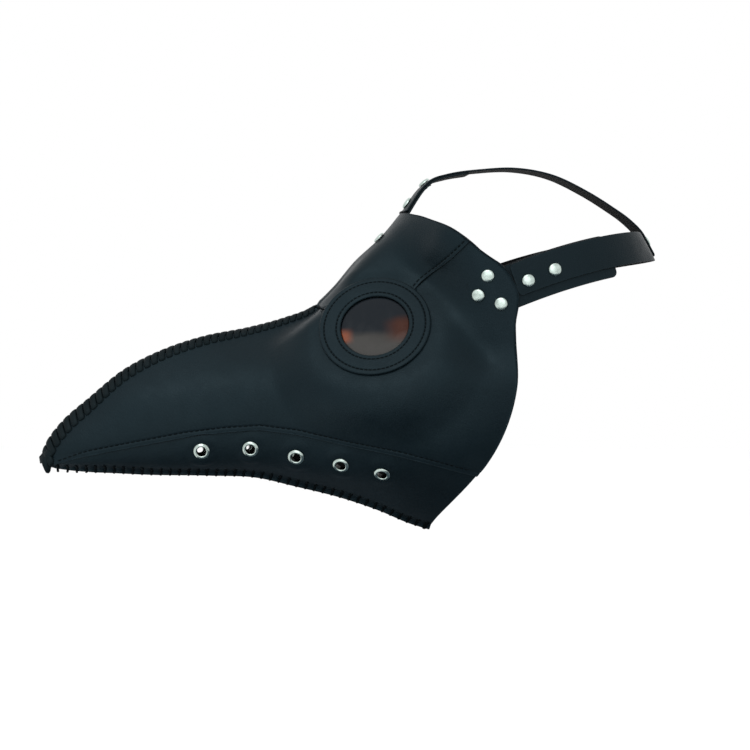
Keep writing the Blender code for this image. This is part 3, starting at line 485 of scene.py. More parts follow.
def ramp(tree, source, low, high, a, b):
    """Source between low and high mapped to a..b, as a value or a colour."""
    if isinstance(a, tuple):
        made = tree.nodes.new("ShaderNodeValToRGB")
        for element, place, tone in zip(made.color_ramp.elements, (low, high), (a, b)):
            element.position = place
            element.color = (*tone, 1.0)
        fill_in(made, {"Fac": source})
        return made.outputs["Color"]
    made = tree.nodes.new("ShaderNodeMapRange")
    made.interpolation_type = "SMOOTHSTEP"
    fill_in(made, {"Value": source, "From Min": low, "From Max": high, "To Min": a, "To Max": b})
    return made.outputs["Result"]


def blend_colour(tree, share, a, b):
    made = tree.nodes.new("ShaderNodeMix")
    made.data_type = "RGBA"
    a, b = ((*value, 1.0) if isinstance(value, tuple) else value for value in (a, b))
    fill_in(made, {"Factor": share, "A": a, "B": b})
    return made.outputs["Result"]


def arithmetic(tree, operation, a, b):
    made = tree.nodes.new("ShaderNodeMath")
    made.operation = operation
    fill_in(made, {0: a, 1: b})
    return made.outputs["Value"]


def bump(tree, height, distance, strength, below=None):
    made = tree.nodes.new("ShaderNodeBump")
    fill_in(made, {"Height": height, "Distance": distance, "Strength": strength})
    if below is not None:
        fill_in(made, {"Normal": below})
    return made.outputs["Normal"]


def wear(tree):
    """How rubbed the leather is, as stored on the mesh."""
    made = tree.nodes.new("ShaderNodeAttribute")
    made.attribute_name = "wear"
    return made.outputs["Fac"]


def leather(name, dark, light, roughness, grain, specular):
    """Satin faux leather: pebbled grain, slow colour drift, soft creases and rubbed edges."""
    made, tree, shader = nodes_of(name)
    drift = noise(tree, 14.0, 3.0, 0.55)
    colour = ramp(tree, drift, 0.32, 0.68, dark, light)
    mottled = noise(tree, 420.0, 2.0, 0.6)
    colour = blend_colour(tree, ramp(tree, mottled, 0.35, 0.75, 0.0, 0.45), colour, light)
    patchy = ramp(tree, noise(tree, 160.0, 3.0, 0.6), 0.35, 0.65, 0.25, 1.0)
    rubbed = arithmetic(tree, "MULTIPLY", wear(tree), patchy)
    colour = blend_colour(tree, rubbed, colour, tuple(2.4 * c for c in light))
    rough = ramp(tree, noise(tree, 55.0, 4.0, 0.6), 0.3, 0.7, roughness - 0.05, roughness + 0.07)
    pores = cells(tree, grain)
    rough = arithmetic(tree, "ADD", rough, ramp(tree, pores, 0.0, 0.5, 0.06, -0.02))
    soft = bump(tree, noise(tree, 38.0, 3.0, 0.5), 0.0011, 0.35)
    fold = bump(tree, noise(tree, 130.0, 4.0, 0.62, (1.0, 1.0, 1.8)), 0.0004, 0.35, soft)
    pebble = bump(tree, pores, 0.00016, 0.55, fold)
    fine = bump(tree, noise(tree, 2600.0, 2.0, 0.6), 0.00005, 0.5, pebble)
    fill_in(shader, {"Base Color": colour, "Roughness": rough, "Specular IOR Level": specular,
                     "Specular Tint": TINT, "Sheen Weight": 0.01, "Sheen Roughness": 0.45, "Normal": fine})
    return made


def backing_cloth(name, dark, light):
    """Napped back of the leather: short woven fibres, fully matt."""
    made, tree, shader = nodes_of(name)
    weave = tree.nodes.new("ShaderNodeTexWave")
    weave.wave_type = "BANDS"
    weave.bands_direction = "DIAGONAL"
    fill_in(weave, {"Vector": object_place(tree), "Scale": 520.0, "Distortion": 3.0, "Detail": 2.0})
    nap = noise(tree, 900.0, 3.0, 0.7)
    woven = bump(tree, weave.outputs["Fac"], 0.00008, 0.35)
    fill_in(shader, {"Base Color": ramp(tree, nap, 0.3, 0.7, dark, light),
                     "Roughness": ramp(tree, nap, 0.3, 0.7, 0.82, 0.95), "Specular IOR Level": 0.08,
                     "Sheen Weight": 0.02, "Normal": bump(tree, nap, 0.00008, 0.35, woven)})
    return made


def cord_material(name, dark, light, roughness, strand, specular):
    """Waxed cord or thread: fine strands along the turns and dull high spots."""
    made, tree, shader = nodes_of(name)
    lines = noise(tree, strand, 3.0, 0.6)
    slow = noise(tree, 70.0, 2.0, 0.5)
    colour = ramp(tree, lines, 0.3, 0.7, dark, light)
    colour = blend_colour(tree, ramp(tree, slow, 0.35, 0.65, 0.0, 0.5), colour, dark)
    rough = ramp(tree, slow, 0.3, 0.7, roughness - 0.06, roughness + 0.08)
    fill_in(shader, {"Base Color": colour, "Roughness": rough, "Specular IOR Level": specular,
                     "Specular Tint": TINT, "Normal": bump(tree, lines, 0.00022, 0.6)})
    return made


def nickel_material(name, dark, light):
    """Nickel plate: faint polishing marks and dull patches; with near-black colours it is the painted shade
    inside the eyelet bores.
    """
    made, tree, shader = nodes_of(name)
    patches = noise(tree, 260.0, 4.0, 0.6)
    scratches = noise(tree, 900.0, 2.0, 0.5, (6.0, 0.6, 1.0))
    rough = arithmetic(tree, "ADD", ramp(tree, patches, 0.3, 0.75, 0.20, 0.34),
                       ramp(tree, scratches, 0.45, 0.7, 0.0, 0.08))
    fill_in(shader, {"Base Color": ramp(tree, patches, 0.3, 0.7, dark, light), "Metallic": 1.0,
                     "Roughness": rough, "Normal": bump(tree, scratches, 0.00003, 0.35)})
    return made


def lens_material(name):
    """Smoky amber plastic, nearly black above, with painted light below: the paler tone of lit things seen
    through it, and painted orange glints at the sides.
    """
    made, tree, shader = nodes_of(name)
    parts = tree.nodes.new("ShaderNodeSeparateXYZ")
    fill_in(parts, {"Vector": object_place(tree)})
    drift = noise(tree, 30.0, 2.0, 0.5, (1.0, 1.0, 1.6))
    wander = arithmetic(tree, "MULTIPLY", arithmetic(tree, "SUBTRACT", drift, 0.5), 0.010)
    height = arithmetic(tree, "SUBTRACT", parts.outputs["Z"], EYE_CENTRE[2] * MM)
    height = arithmetic(tree, "ADD", height, wander)
    aside = arithmetic(tree, "SUBTRACT", parts.outputs["X"], EYE_CENTRE[0] * MM)
    # painted light: the lens turns from dark above to paler below, as if lit things showed through it; then
    # painted orange glints at both sides
    colour = blend_colour(tree, ramp(tree, height, -0.007, 0.0, 1.0, 0.0), LENS_DARK, LENS_PAINTED_LIGHT)
    for tone, rise, fall, side in LENS_GLINTS:
        band = arithmetic(tree, "MULTIPLY", ramp(tree, height, *rise, 0.0, 1.0),
                          ramp(tree, height, *fall, 1.0, 0.0))
        glint = arithmetic(tree, "MULTIPLY", band, ramp(tree, aside, *side))
        colour = blend_colour(tree, glint, colour, tone)
    smear = noise(tree, 120.0, 4.0, 0.6, (1.0, 1.0, 0.35))
    fill_in(shader, {"Base Color": colour, "Roughness": ramp(tree, smear, 0.35, 0.7, 0.06, 0.15),
                     "Transmission Weight": 0.03, "IOR": 1.46, "Specular IOR Level": 0.10,
                     "Normal": bump(tree, noise(tree, 45.0, 1.0, 0.4), 0.0003, 0.2)})
    return made


PANEL = leather("panel_leather", (0.0016, 0.0042, 0.0060), (0.0030, 0.0070, 0.0096), 0.44, 950.0, 0.17)
STRAP = leather("strap_leather_looks", (0.0016, 0.0036, 0.0050), (0.0030, 0.0060, 0.0080), 0.48, 1250.0, 0.15)
EDGE = leather("painted_edge", (0.0015, 0.0026, 0.0034), (0.0030, 0.0046, 0.0058), 0.55, 1500.0, 0.14)
BACKING = backing_cloth("napped_backing", (0.0060, 0.0064, 0.0068), (0.0125, 0.0130, 0.0136))
STRAP_BACK = backing_cloth("strap_backing", (0.0016, 0.0022, 0.0026), (0.0034, 0.0042, 0.0048))
LACE = cord_material("waxed_lace", (0.0010, 0.0019, 0.0023), (0.0038, 0.0060, 0.0068), 0.55, 1500.0, 0.14)
# painted shade: the keel cord is darker than the ridge lace, standing in for the shade of the lace holes and
# the gap at the laced edge
KEEL_CORD_PAINTED_SHADE = cord_material("keel_cord_painted_shade", (0.0004, 0.0008, 0.0010), (0.0016, 0.0026, 0.0032), 0.62, 2200.0, 0.07)
THREAD_BLACK = cord_material("sewing_thread", (0.0006, 0.0010, 0.0013), (0.0022, 0.0032, 0.0038),
                             0.60, 3500.0, 0.10)
NICKEL = nickel_material("nickel_plate", (0.35, 0.415, 0.385), (0.54, 0.635, 0.595))
# painted shade: near-black nickel on the faces inside each eyelet bore stands in for the shade in the hole
BORE_PAINTED_SHADE = nickel_material("eyelet_bore_painted_shade", (0.010, 0.010, 0.010), (0.035, 0.035, 0.033))
AMBER = lens_material("smoky_amber_painted_light")


# ---------------------------------------------------------------- looks: mesh building
class Bundle:
    """Vertices and faces gathered into one mesh."""

    def __init__(self):
        self.points = []
        self.faces = []
        self.slots = []
        self.wear = []
        self.count = 0

    def add(self, points, faces, slots=None, wear_values=None):
        points = np.asarray(points, float).reshape(-1, 3)
        self.points.append(points)
        self.faces += [tuple(int(i) + self.count for i in face) for face in faces]
        self.slots += list(slots) if slots is not None else [0] * len(faces)
        self.wear.append(np.zeros(len(points)) if wear_values is None else np.asarray(wear_values, float))
        self.count += len(points)


def build(name, bundle, looks, body, stands_for=(), side=-1, cutter=None):
    """Object from a bundle; side 1 mirrors it to the wearer's right."""
    points = np.concatenate(bundle.points) * MM
    faces = bundle.faces
    if side > 0:
        points = points * (1, -1, 1)
        faces = [face[::-1] for face in faces]
    mesh = bpy.data.meshes.new(name)
    mesh.from_pydata(points.tolist(), [], faces)
    for look in looks:
        mesh.materials.append(look)
    mesh.polygons.foreach_set("material_index", bundle.slots)
    mesh.polygons.foreach_set("use_smooth", [True] * len(faces))
    worn = mesh.attributes.new("wear", "FLOAT", "POINT")
    worn.data.foreach_set("value", np.concatenate(bundle.wear).astype(np.float32))
    mesh.update()
    piece = bpy.data.objects.new(name, mesh)
    bpy.context.scene.collection.objects.link(piece)
    if cutter is not None:
        piece = punched(piece, cutter)
    if stands_for:
        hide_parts(*stands_for)
    if body:
        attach(piece, body)
    return piece


def punched(piece, cutter):
    """The piece with the cutter's shape taken out, as a final mesh."""
    hole = piece.modifiers.new("holes", "BOOLEAN")
    hole.operation = "DIFFERENCE"
    hole.solver = "EXACT"
    hole.object = cutter
    bpy.context.view_layer.update()
    graph = bpy.context.evaluated_depsgraph_get()
    final = bpy.data.meshes.new_from_object(piece.evaluated_get(graph))
    final.name = piece.name
    piece.modifiers.clear()
    piece.data = final
    bpy.data.objects.remove(cutter, do_unlink=True)
    return piece


def mesh_object(name, shape):
    """Object of a finished bmesh."""
    mesh = bpy.data.meshes.new(name)
    shape.to_mesh(mesh)
    shape.free()
    made = bpy.data.objects.new(name, mesh)
    bpy.context.scene.collection.objects.link(made)
    return made


def round_holes(frames, radius, depth, segments):
    """Punches for holes: one mesh of upright cylinders at the given frames."""
    shape = bmesh.new()
    for where in frames:
        bmesh.ops.create_cone(shape, cap_ends=True, segments=segments, radius1=radius * MM,
                              radius2=radius * MM, depth=depth * MM, matrix=where)
    return mesh_object("punch", shape)


def grid_normals(points, hint):
    """Normals of a grid of points, turned to the hint's side."""
    normal = unit(np.cross(np.gradient(points, axis=0), np.gradient(points, axis=1)))
    return normal * np.sign((normal * hint).sum(-1).mean())


def sheet(outer, inner, bulge=EDGE_BULGE, worn=EDGE_WEAR):
    """Closed leather sheet from two matching grids, with rounded cut edges: (points, faces, slots, wear)."""
    rows, columns = outer.shape[:2]
    index = np.arange(rows * columns).reshape(rows, columns)
    loop = np.concatenate([index[0, :-1], index[:-1, -1], index[-1, :0:-1], index[:0:-1, 0]])
    away = np.zeros_like(outer)
    away[0] += unit(outer[0] - outer[1])
    away[-1] += unit(outer[-1] - outer[-2])
    away[:, 0] += unit(outer[:, 0] - outer[:, 1])
    away[:, -1] += unit(outer[:, -1] - outer[:, -2])
    flat_outer, flat_inner = outer.reshape(-1, 3), inner.reshape(-1, 3)
    away = unit(away.reshape(-1, 3)[loop])
    middle = (flat_outer[loop] + flat_inner[loop]) / 2
    half = (flat_outer[loop] - flat_inner[loop]) / 2
    rims = [middle + away * bulge * math.cos(angle) + half * math.sin(angle) * RIM_SHARE
            for angle in RIM_ANGLES]
    points = np.concatenate([flat_outer, flat_inner] + rims)
    total = rows * columns
    quads = np.stack([index[:-1, :-1], index[1:, :-1], index[1:, 1:], index[:-1, 1:]], axis=-1).reshape(-1, 4)
    between = [np.arange(len(loop)) + 2 * total + k * len(loop) for k in range(len(rims))]
    rings = [loop] + between + [loop + total]
    faces = quads.tolist() + (quads[:, ::-1] + total).tolist()
    slots = [0] * len(quads) + [2] * len(quads)
    for upper, lower in zip(rings[:-1], rings[1:]):
        strip = np.stack([np.roll(upper, -1), upper, lower, np.roll(lower, -1)], axis=-1)
        faces += strip.tolist()
        slots += [1] * len(strip)
    row, column = rows // 2, columns // 2
    here = outer[row, column]
    across = np.cross(outer[row + 1, column] - here, outer[row, column + 1] - here)
    if np.dot(across, here - inner[row, column]) < 0:
        faces = [face[::-1] for face in faces]
    run_rows = running(outer[:, column])
    gap_columns = np.linalg.norm(np.diff(outer, axis=1), axis=2)
    run_columns = np.concatenate([np.zeros((rows, 1)), np.cumsum(gap_columns, axis=1)], axis=1)
    edge = np.minimum(np.minimum(run_rows, run_rows[-1] - run_rows)[:, None],
                      np.minimum(run_columns, run_columns[:, -1:] - run_columns))
    rubbed = np.clip(1 - edge / worn, 0, 1) ** 1.5 * RUBBED[0]
    values = np.concatenate([rubbed.ravel(), np.zeros(total), np.full(len(loop) * len(rims), RUBBED[1])])
    return points, faces, slots, values


def tube(path, wide, half_wide, half_thin, sides=10, blunt=0.55):
    """Closed lace along a path; wide is the direction of its broad side at each point."""
    path = np.asarray(path, float)
    tangent = unit(np.gradient(path, axis=0))
    wide = np.broadcast_to(np.asarray(wide, float), path.shape)
    wide = unit(wide - tangent * (wide * tangent).sum(-1, keepdims=True))
    thin = np.cross(tangent, wide)
    size = np.ones(len(path))
    size[0] = size[-1] = blunt
    angle = np.linspace(0, math.tau, sides, endpoint=False)
    ring = (wide[:, None] * (np.cos(angle) * half_wide)[None, :, None]
            + thin[:, None] * (np.sin(angle) * half_thin)[None, :, None]) * size[:, None, None]
    points = (path[:, None] + ring).reshape(-1, 3)
    index = np.arange(len(points)).reshape(len(path), sides)
    around = np.roll(index, -1, axis=1)
    quads = np.stack([index[:-1], around[:-1], around[1:], index[1:]], axis=-1).reshape(-1, 4)
    caps = [tuple(index[0, ::-1]), tuple(index[-1])]
    return points, quads.tolist() + caps


def circle(radius, height, angle):
    return np.stack([radius * np.cos(angle), radius * np.sin(angle), np.full_like(angle, height)], -1)


def placed(points, where):
    """Points of a frame's own axes, moved to the frame."""
    return points @ np.array(where.to_3x3()).T + np.array(where.translation) / MM


def lathe(profile, segments, where):
    """Turned piece at a frame; the profile is (radius, height), open at the axis or a closed loop."""
    profile = np.asarray(profile, float)
    closed = profile[0, 0] > 0 and profile[-1, 0] > 0
    angle = np.linspace(0, math.tau, segments, endpoint=False)
    points, rings = [], []
    for radius, height in profile:
        start = sum(len(p) for p in points)
        if radius <= 0:
            points.append(np.array([[0.0, 0.0, height]]))
            rings.append(np.full(segments, start))
        else:
            points.append(circle(radius, height, angle))
            rings.append(np.arange(segments) + start)
    pairs = list(zip(rings[:-1], rings[1:]))
    if closed:
        pairs.append((rings[-1], rings[0]))
    faces = []
    for a, b in pairs:
        for k in range(segments):
            n = (k + 1) % segments
            face = [a[k], b[k], b[n], a[n]]
            face = [v for i, v in enumerate(face) if v not in face[:i]]
            faces.append(tuple(face))
    return placed(np.concatenate(points), where), faces


def frame_matrix(origin, normal, width):
    """Local Z along the outward normal, local Y along the width direction."""
    z = Vector(normal).normalized()
    y = Vector(width)
    y = (y - z * y.dot(z)).normalized()
    x = y.cross(z)
    turn = Matrix((x, y, z)).transposed().to_4x4()
    return Matrix.Translation(Vector(origin) * MM) @ turn


def rounded_profile(knots, radius, steps=3):
    """Closed profile with its corners rounded."""
    knots = np.asarray(knots, float)
    made = []
    for i, corner in enumerate(knots):
        before, after = knots[i - 1], knots[(i + 1) % len(knots)]
        reach = min(radius, 0.45 * np.linalg.norm(corner - before), 0.45 * np.linalg.norm(after - corner))
        a = corner + unit(before - corner) * reach
        b = corner + unit(after - corner) * reach
        for t in np.linspace(0, 1, steps + 1):
            made.append((1 - t) ** 2 * a + 2 * t * (1 - t) * corner + t * t * b)
    return made


# ---------------------------------------------------------------- looks: shell places
def ripple(points):
    """Slow unevenness of the leather, level with the surface."""
    x, y, z = points[..., 0], points[..., 1], points[..., 2]
    waves = (np.sin(x / 19.0 + z / 27.0 + 0.6) + 0.7 * np.sin(x / 11.0 - z / 15.0 + 2.1)
             + 0.5 * np.sin(z / 8.0 + x / 31.0 + y / 20.0))
    return RIPPLE * waves


def shell_level(u, v, level):
    """Points at a level above the uneven leather, and their normals."""
    point, normal = shell(u, v), outward(u, v)
    calm = 1 - falloff(eye_range(point), *RIPPLE_CALM)
    return point + normal * (np.asarray(level) + ripple(point) * calm)[..., None], normal


def seam_girth(u, seam):
    v = seam_v(u, seam)
    return float(np.interp(v, GIRTH_V, girth(u)))


def forehead_edge(u):
    """Girth of the forehead panel's lower edge; zero in front of the bridge."""
    return 0.0 if u <= BRIDGE else seam_girth(u, FOREHEAD_SEAM)


def graded(length, fine, count, limit):
    """Running lengths from 0 to length with a fine start, for rows of a panel."""
    scale = min(1.0, length / limit)
    start = np.asarray(fine) * scale
    return np.concatenate([start, np.linspace(start[-1], length, count + 1)[1:]])


def hollow(distance, centre, depth, width):
    """Groove that a row of thread presses into the leather."""
    return -depth * np.exp(-((distance - centre) / width) ** 2)


def eye_range(points):
    return np.linalg.norm(points - EYE_CENTRE, axis=-1)


def stitches(bundle, points, normals, pitch, sunk, closed=False, trim=3.0):
    """Row of thread stitches along a line on the leather."""
    run = running(points)
    length = run[-1] if closed else run[-1] - 2 * trim
    count = max(int(round(length / pitch)), 1)
    step = length / count
    share = np.array((0.0, 0.14, 0.5, 0.86, 1.0))
    rise = np.array((-0.55, 0.12, 0.22, 0.12, -0.55))
    for k in range(count):
        start = (0.0 if closed else trim) + k * step + step * (1 - STITCH_SHARE) / 2
        s = start + share * step * STITCH_SHARE
        if s[-1] > run[-1]:
            continue
        at = at_length(s, run, points)
        out = unit(at_length(s, run, normals))
        path = at + out * (rise + sunk)[:, None]
        bundle.add(*tube(path, np.cross(out, unit(np.gradient(at, axis=0))), THREAD, THREAD * 0.85, 6, 0.6))


# ---------------------------------------------------------------- side panels
SIDE_COLUMNS = (120, 70)     # in front of the bridge and behind it
SEAM_ROWS = (0.0, 0.5, 1.1, 1.9, 2.8, 3.4, 3.9, 4.4, 5.0, 6.0, 7.6, 10.0)
LAP_EYE = (43.0, 52.0)
WINDOW = LENS_HOLE + 0.7
WINDOW_LEVEL = 2.0           # middle of the punch above the eye's flat
WINDOW_SEGMENTS = 72
PUNCH_DEPTH = 16.0
FOREHEAD_PUNCH_DEPTH = 22.0
PANEL_LOOKS = (PANEL, EDGE, BACKING)


def side_top(u):
    """The side panel is laced at the ridge and laps under the forehead panel, but butts under the ring."""
    edge = forehead_edge(u)
    if edge <= 0.0:
        return 0.0
    near = float(eye_range(shell(u, v_at_girth(u, edge))))
    lap = LAP * (1 - float(falloff(near, *LAP_EYE)))
    return max(edge + SEAM_GAP * float(falloff(near, *LAP_EYE)) - lap, 0.0)


def side_panel():
    """Upper side panel: its inner and outer grids, and the line and normals of its stitch row."""
    front = np.linspace(0.0, BRIDGE, SIDE_COLUMNS[0])
    stations = np.concatenate([front[:-1], np.linspace(BRIDGE, 1.0, SIDE_COLUMNS[1])])
    spans, rises = [], []
    for u in stations:
        top, low = side_top(u), seam_girth(u, LOWER_SEAM)
        rise = graded(low - top, SEAM_ROWS, 46, 34.0)
        rises.append(rise)
        spans.append(low - rise)
    rises = np.array(rises)
    v = np.array([v_at_girth(u, s) for u, s in zip(stations, spans)])
    v = np.where(np.array(spans) <= 1e-6, 0.0, v)
    u = np.broadcast_to(stations[:, None], v.shape)
    level = UPPER_LEVEL - SEAM_PRESS * falloff(rises, *SEAM_SETTLE)
    inner, normal = shell_level(u, v, level)
    normal = grid_normals(inner, normal)
    groove = hollow(rises, STITCH_INSET, GROOVE_DEPTH, 0.6) - hollow(rises, 1.9, 0.16, 1.0)
    outer = inner + normal * (LEATHER + groove)[..., None]
    row = SEAM_ROWS.index(STITCH_INSET)
    return inner, outer, outer[:, row], normal[:, row]


def eye_frame(level):
    """Frame of the left eye at a level above the flat of the shell."""
    normal = Vector(EYE_NORMAL).normalized()
    return frame_matrix(Vector(EYE_CENTRE) + normal * level, normal, (0, 0, 1))


def on_side(where, side):
    """The frame itself on the left side, and the frame of the matching place on the right."""
    if side < 0:
        return where
    flip = Vector((1, -1, 1))
    return frame_matrix(where.translation / MM * flip, where.col[2].xyz * flip, where.col[1].xyz * flip)


side_inner, side_outer, seam_row, seam_normals = side_panel()
side_bundle = Bundle()
side_bundle.add(*sheet(side_outer, side_inner))
for side, label in SIDES:
    window = round_holes([on_side(eye_frame(WINDOW_LEVEL), side)], WINDOW, PUNCH_DEPTH, WINDOW_SEGMENTS)
    build("side_panel_" + label, side_bundle, PANEL_LOOKS, "mask", ("upper_panel_" + label,),
          side, window)
    seam = Bundle()
    stitches(seam, seam_row, seam_normals, STITCH_PITCH, 0.05, trim=10.0)
    build("seam_stitches_" + label, seam, (THREAD_BLACK,), "mask", side=side)

# ---------------------------------------------------------------- jaw panels with the laced keel edge
KEEL_COLUMNS = 400
KEEL_BARE = 4.0              # unlaced length at the chin end
KEEL_MIDDLE = 0.30           # half the gap between the two laced edges
jaw_stations = np.linspace(0.0, 1.0, KEEL_COLUMNS)
keel_line = shell(jaw_stations, np.ones(KEEL_COLUMNS))
keel_run = running(keel_line * (1, 0, 1))
keel_laced = keel_run[-1] - KEEL_BARE
keel_count = int(round(keel_laced / KEEL_PITCH))
keel_step = keel_laced / keel_count


def keel_down(u):
    """Direction of the laced edge, down and out in the mirror plane."""
    return unit(shell_normal(u, 1.0 + 0.0 * u) * (1, 0, 1))


def jaw_panel():
    """Lower panel; its last millimetres turn down into a flat edge that is laced to the other side."""
    down = keel_down(jaw_stations)
    rows, widths = [], []
    fin = np.linspace(0.0, 1.0, 13)[1:]
    for k, u in enumerate(jaw_stations):
        whole = float(girth(u)[-1])
        low = seam_girth(u, LOWER_SEAM)
        top = max(low - LAP, 0.8)
        reach = min(FIN_START, 0.45 * (whole - top))
        v = v_at_girth(u, np.linspace(top, whole - reach, 20))
        wall, _ = shell_level(np.full_like(v, u), v, np.full_like(v, LOWER_LEVEL))
        depth = FIN_DEPTH * reach / FIN_START
        p3 = wall[-1]
        p2 = p3 + unit(wall[-1] - wall[-2]) * reach * 0.36
        base = np.array((keel_line[k, 0], -KEEL_MIDDLE, keel_line[k, 2])) - down[k] * FIN_LIFT
        p1 = base + down[k] * (-0.8)
        p0 = base + down[k] * depth
        t = fin[:, None]
        lower = (1 - t) ** 3 * p3 + 3 * t * (1 - t) ** 2 * p2 + 3 * t * t * (1 - t) * p1 + t ** 3 * p0
        rows.append(np.concatenate([wall, lower]))
        widths.append(np.concatenate([np.zeros(len(wall)), fin]))
    inner = np.array(rows)
    share = np.array(widths)
    hint = np.zeros_like(inner)
    hint[..., 1] = -1.0
    normal = grid_normals(inner, hint)
    phase = np.abs(np.sin(math.pi * keel_run / keel_step))[:, None]
    swell = PUFF * (phase ** 0.6 - 0.75) * np.clip((share - 0.18) / 0.4, 0, 1)
    outer = inner + normal * (LEATHER + swell)[..., None]
    return inner, outer, normal


jaw_inner, jaw_outer, jaw_normal = jaw_panel()
jaw_bundle = Bundle()
jaw_bundle.add(*sheet(jaw_outer, jaw_inner))
eyelet_frames = [frame_matrix(centre + LEATHER * facing, facing, (0, 0, 1))
                 for centre, facing in EYELET_PLANES]
EYELET_LOOK = rounded_profile(
    ((EYELET_BORE, 0.55), (EYELET_BORE + 0.2, 1.55), (EYELET_BORE + 1.0, 1.95), (EYELET_RADIUS - 1.0, 1.55),
     (EYELET_RADIUS, 0.75), (EYELET_RADIUS, 0.45), (EYELET_BARREL, 0.35), (EYELET_BARREL, -2.7),
     (EYELET_RADIUS - 0.8, -2.7), (EYELET_RADIUS - 0.8, -3.2), (EYELET_BORE, -3.3)), 0.45, 3)
for side, label in SIDES:
    frames = [on_side(place, side) for place in eyelet_frames]
    bores = round_holes(frames, EYELET_BARREL + 0.1, PUNCH_DEPTH, 28)
    build("jaw_panel_" + label, jaw_bundle, PANEL_LOOKS, "mask", ("lower_panel_" + label,),
          side, bores)
    for number, place in enumerate(frames, 1):
        ring = Bundle()
        points, faces = lathe(EYELET_LOOK, 40, place)
        centre = np.array(place.translation) / MM
        axis = np.array(place.col[2].xyz)
        middles = np.array([points[list(face)].mean(axis=0) for face in faces]) - centre
        depth = middles @ axis
        reach = np.linalg.norm(middles - depth[:, None] * axis, axis=1)
        # faces inside the bore take the second material, the painted shade of the hole
        ring.add(points, faces, ((reach < EYELET_BORE + 0.35) & (depth < 1.2)).astype(int).tolist())
        build("rolled_eyelet_%s_%d" % (label, number), ring, (NICKEL, BORE_PAINTED_SHADE), "mask",
              ("eyelet_%s_%d" % (label, number),))

# ---------------------------------------------------------------- forehead panel
FOREHEAD_START = BRIDGE + 0.006
FOREHEAD_ROWS = (0.0, 0.5, 1.1, 1.7, 2.3, 2.9, 3.5, 4.3, 6.0, 9.0)


def forehead_panel():
    """Forehead panel from side to side, with the same four results."""
    stations = FOREHEAD_START + (1 - FOREHEAD_START) * np.linspace(0, 1, 76) ** 1.15
    grids, rows = [], []
    for u in stations:
        edge = max(forehead_edge(u), 1.0)
        inset = graded(edge, FOREHEAD_ROWS, 20, 22.0)
        v = v_at_girth(u, edge - inset)
        v[-1] = 0.0
        wall = shell(np.full_like(v, u), v)
        level = FOREHEAD_LEVEL - FOREHEAD_PRESS * falloff(inset, *FOREHEAD_SETTLE)
        near = falloff(eye_range(wall), *FOREHEAD_EYE)
        level = level + (UPPER_LEVEL + 0.06 - level) * near
        points, _ = shell_level(np.full_like(v, u), v, level)
        points[-1, 1] = 0.0
        right = points[:-1][::-1] * (1, -1, 1)
        grids.append(np.concatenate([points, right]))
        rows.append(np.concatenate([inset, inset[:-1][::-1]]))
    inner = np.array(grids)
    inset = np.array(rows)
    hint = np.zeros_like(inner)
    hint[..., 0], hint[..., 2] = -0.6, 0.8
    normal = grid_normals(inner, hint)
    groove = hollow(inset, FOREHEAD_INSET, GROOVE_DEPTH, 0.55) - hollow(inset, 1.4, 0.14, 0.8)
    outer = inner + normal * (LEATHER + groove)[..., None]
    row = FOREHEAD_ROWS.index(FOREHEAD_INSET)
    return inner, outer, outer[:, row], normal[:, row]


forehead_inner, forehead_outer, forehead_row, forehead_normals = forehead_panel()
forehead_bundle = Bundle()
forehead_bundle.add(*sheet(forehead_outer, forehead_inner))
windows = round_holes([on_side(eye_frame(WINDOW_LEVEL), side) for side, _ in SIDES], WINDOW,
                      FOREHEAD_PUNCH_DEPTH, WINDOW_SEGMENTS)
build("forehead_cover", forehead_bundle, PANEL_LOOKS, "mask", ("forehead_panel",),
      cutter=windows)
for side, label in SIDES:
    seam = Bundle()
    stitches(seam, forehead_row, forehead_normals, STITCH_PITCH, 0.05, trim=2.0)
    build("forehead_stitches_" + label, seam, (THREAD_BLACK,), "mask", side=side)

# ---------------------------------------------------------------- eye rings and lenses
RING_CROWN = 0.25
RING_GROOVE = 0.48           # depth of the stitch rows


def ring_height(radius):
    """Height of the ring's face, slightly raised in its middle."""
    return RING_THICKNESS + RING_CROWN * math.sin(math.pi * (radius - LENS_HOLE) / (RING_RADIUS - LENS_HOLE))


ring_face = []
for radius in np.linspace(LENS_HOLE + 0.6, RING_RADIUS - 0.6, 60):
    grooves = sum(hollow(radius, row, RING_GROOVE, 0.55) for row in RING_ROWS)
    ring_face.append((radius, ring_height(radius) + grooves))
ring_profile = ([(LENS_HOLE, 0.15), (LENS_HOLE - 0.25, 0.8), (LENS_HOLE, 1.3)] + ring_face
                + [(RING_RADIUS, 1.25), (RING_RADIUS + 0.3, 0.7), (RING_RADIUS, 0.1)])
LENS_FACE = LEATHER + LENS_RAISE
LENS_PROFILE = [(0, LENS_FACE + 0.6), (LENS_WINDOW * 0.35, LENS_FACE + 0.57),
                (LENS_WINDOW * 0.7, LENS_FACE + 0.47), (LENS_WINDOW - 0.5, LENS_FACE + 0.32),
                (LENS_WINDOW - 0.1, LENS_FACE + 0.25), (LENS_WINDOW, LENS_FACE + 0.1),
                (LENS_WINDOW, LEATHER + 0.2), (LENS_WINDOW + 0.1, LEATHER),
                (LENS_RADIUS - 0.5, LEATHER - 0.1), (LENS_RADIUS, LEATHER - 0.5),
                (LENS_RADIUS, 0.2), (LENS_RADIUS - 0.5, 0.0), (0, 0.0)]
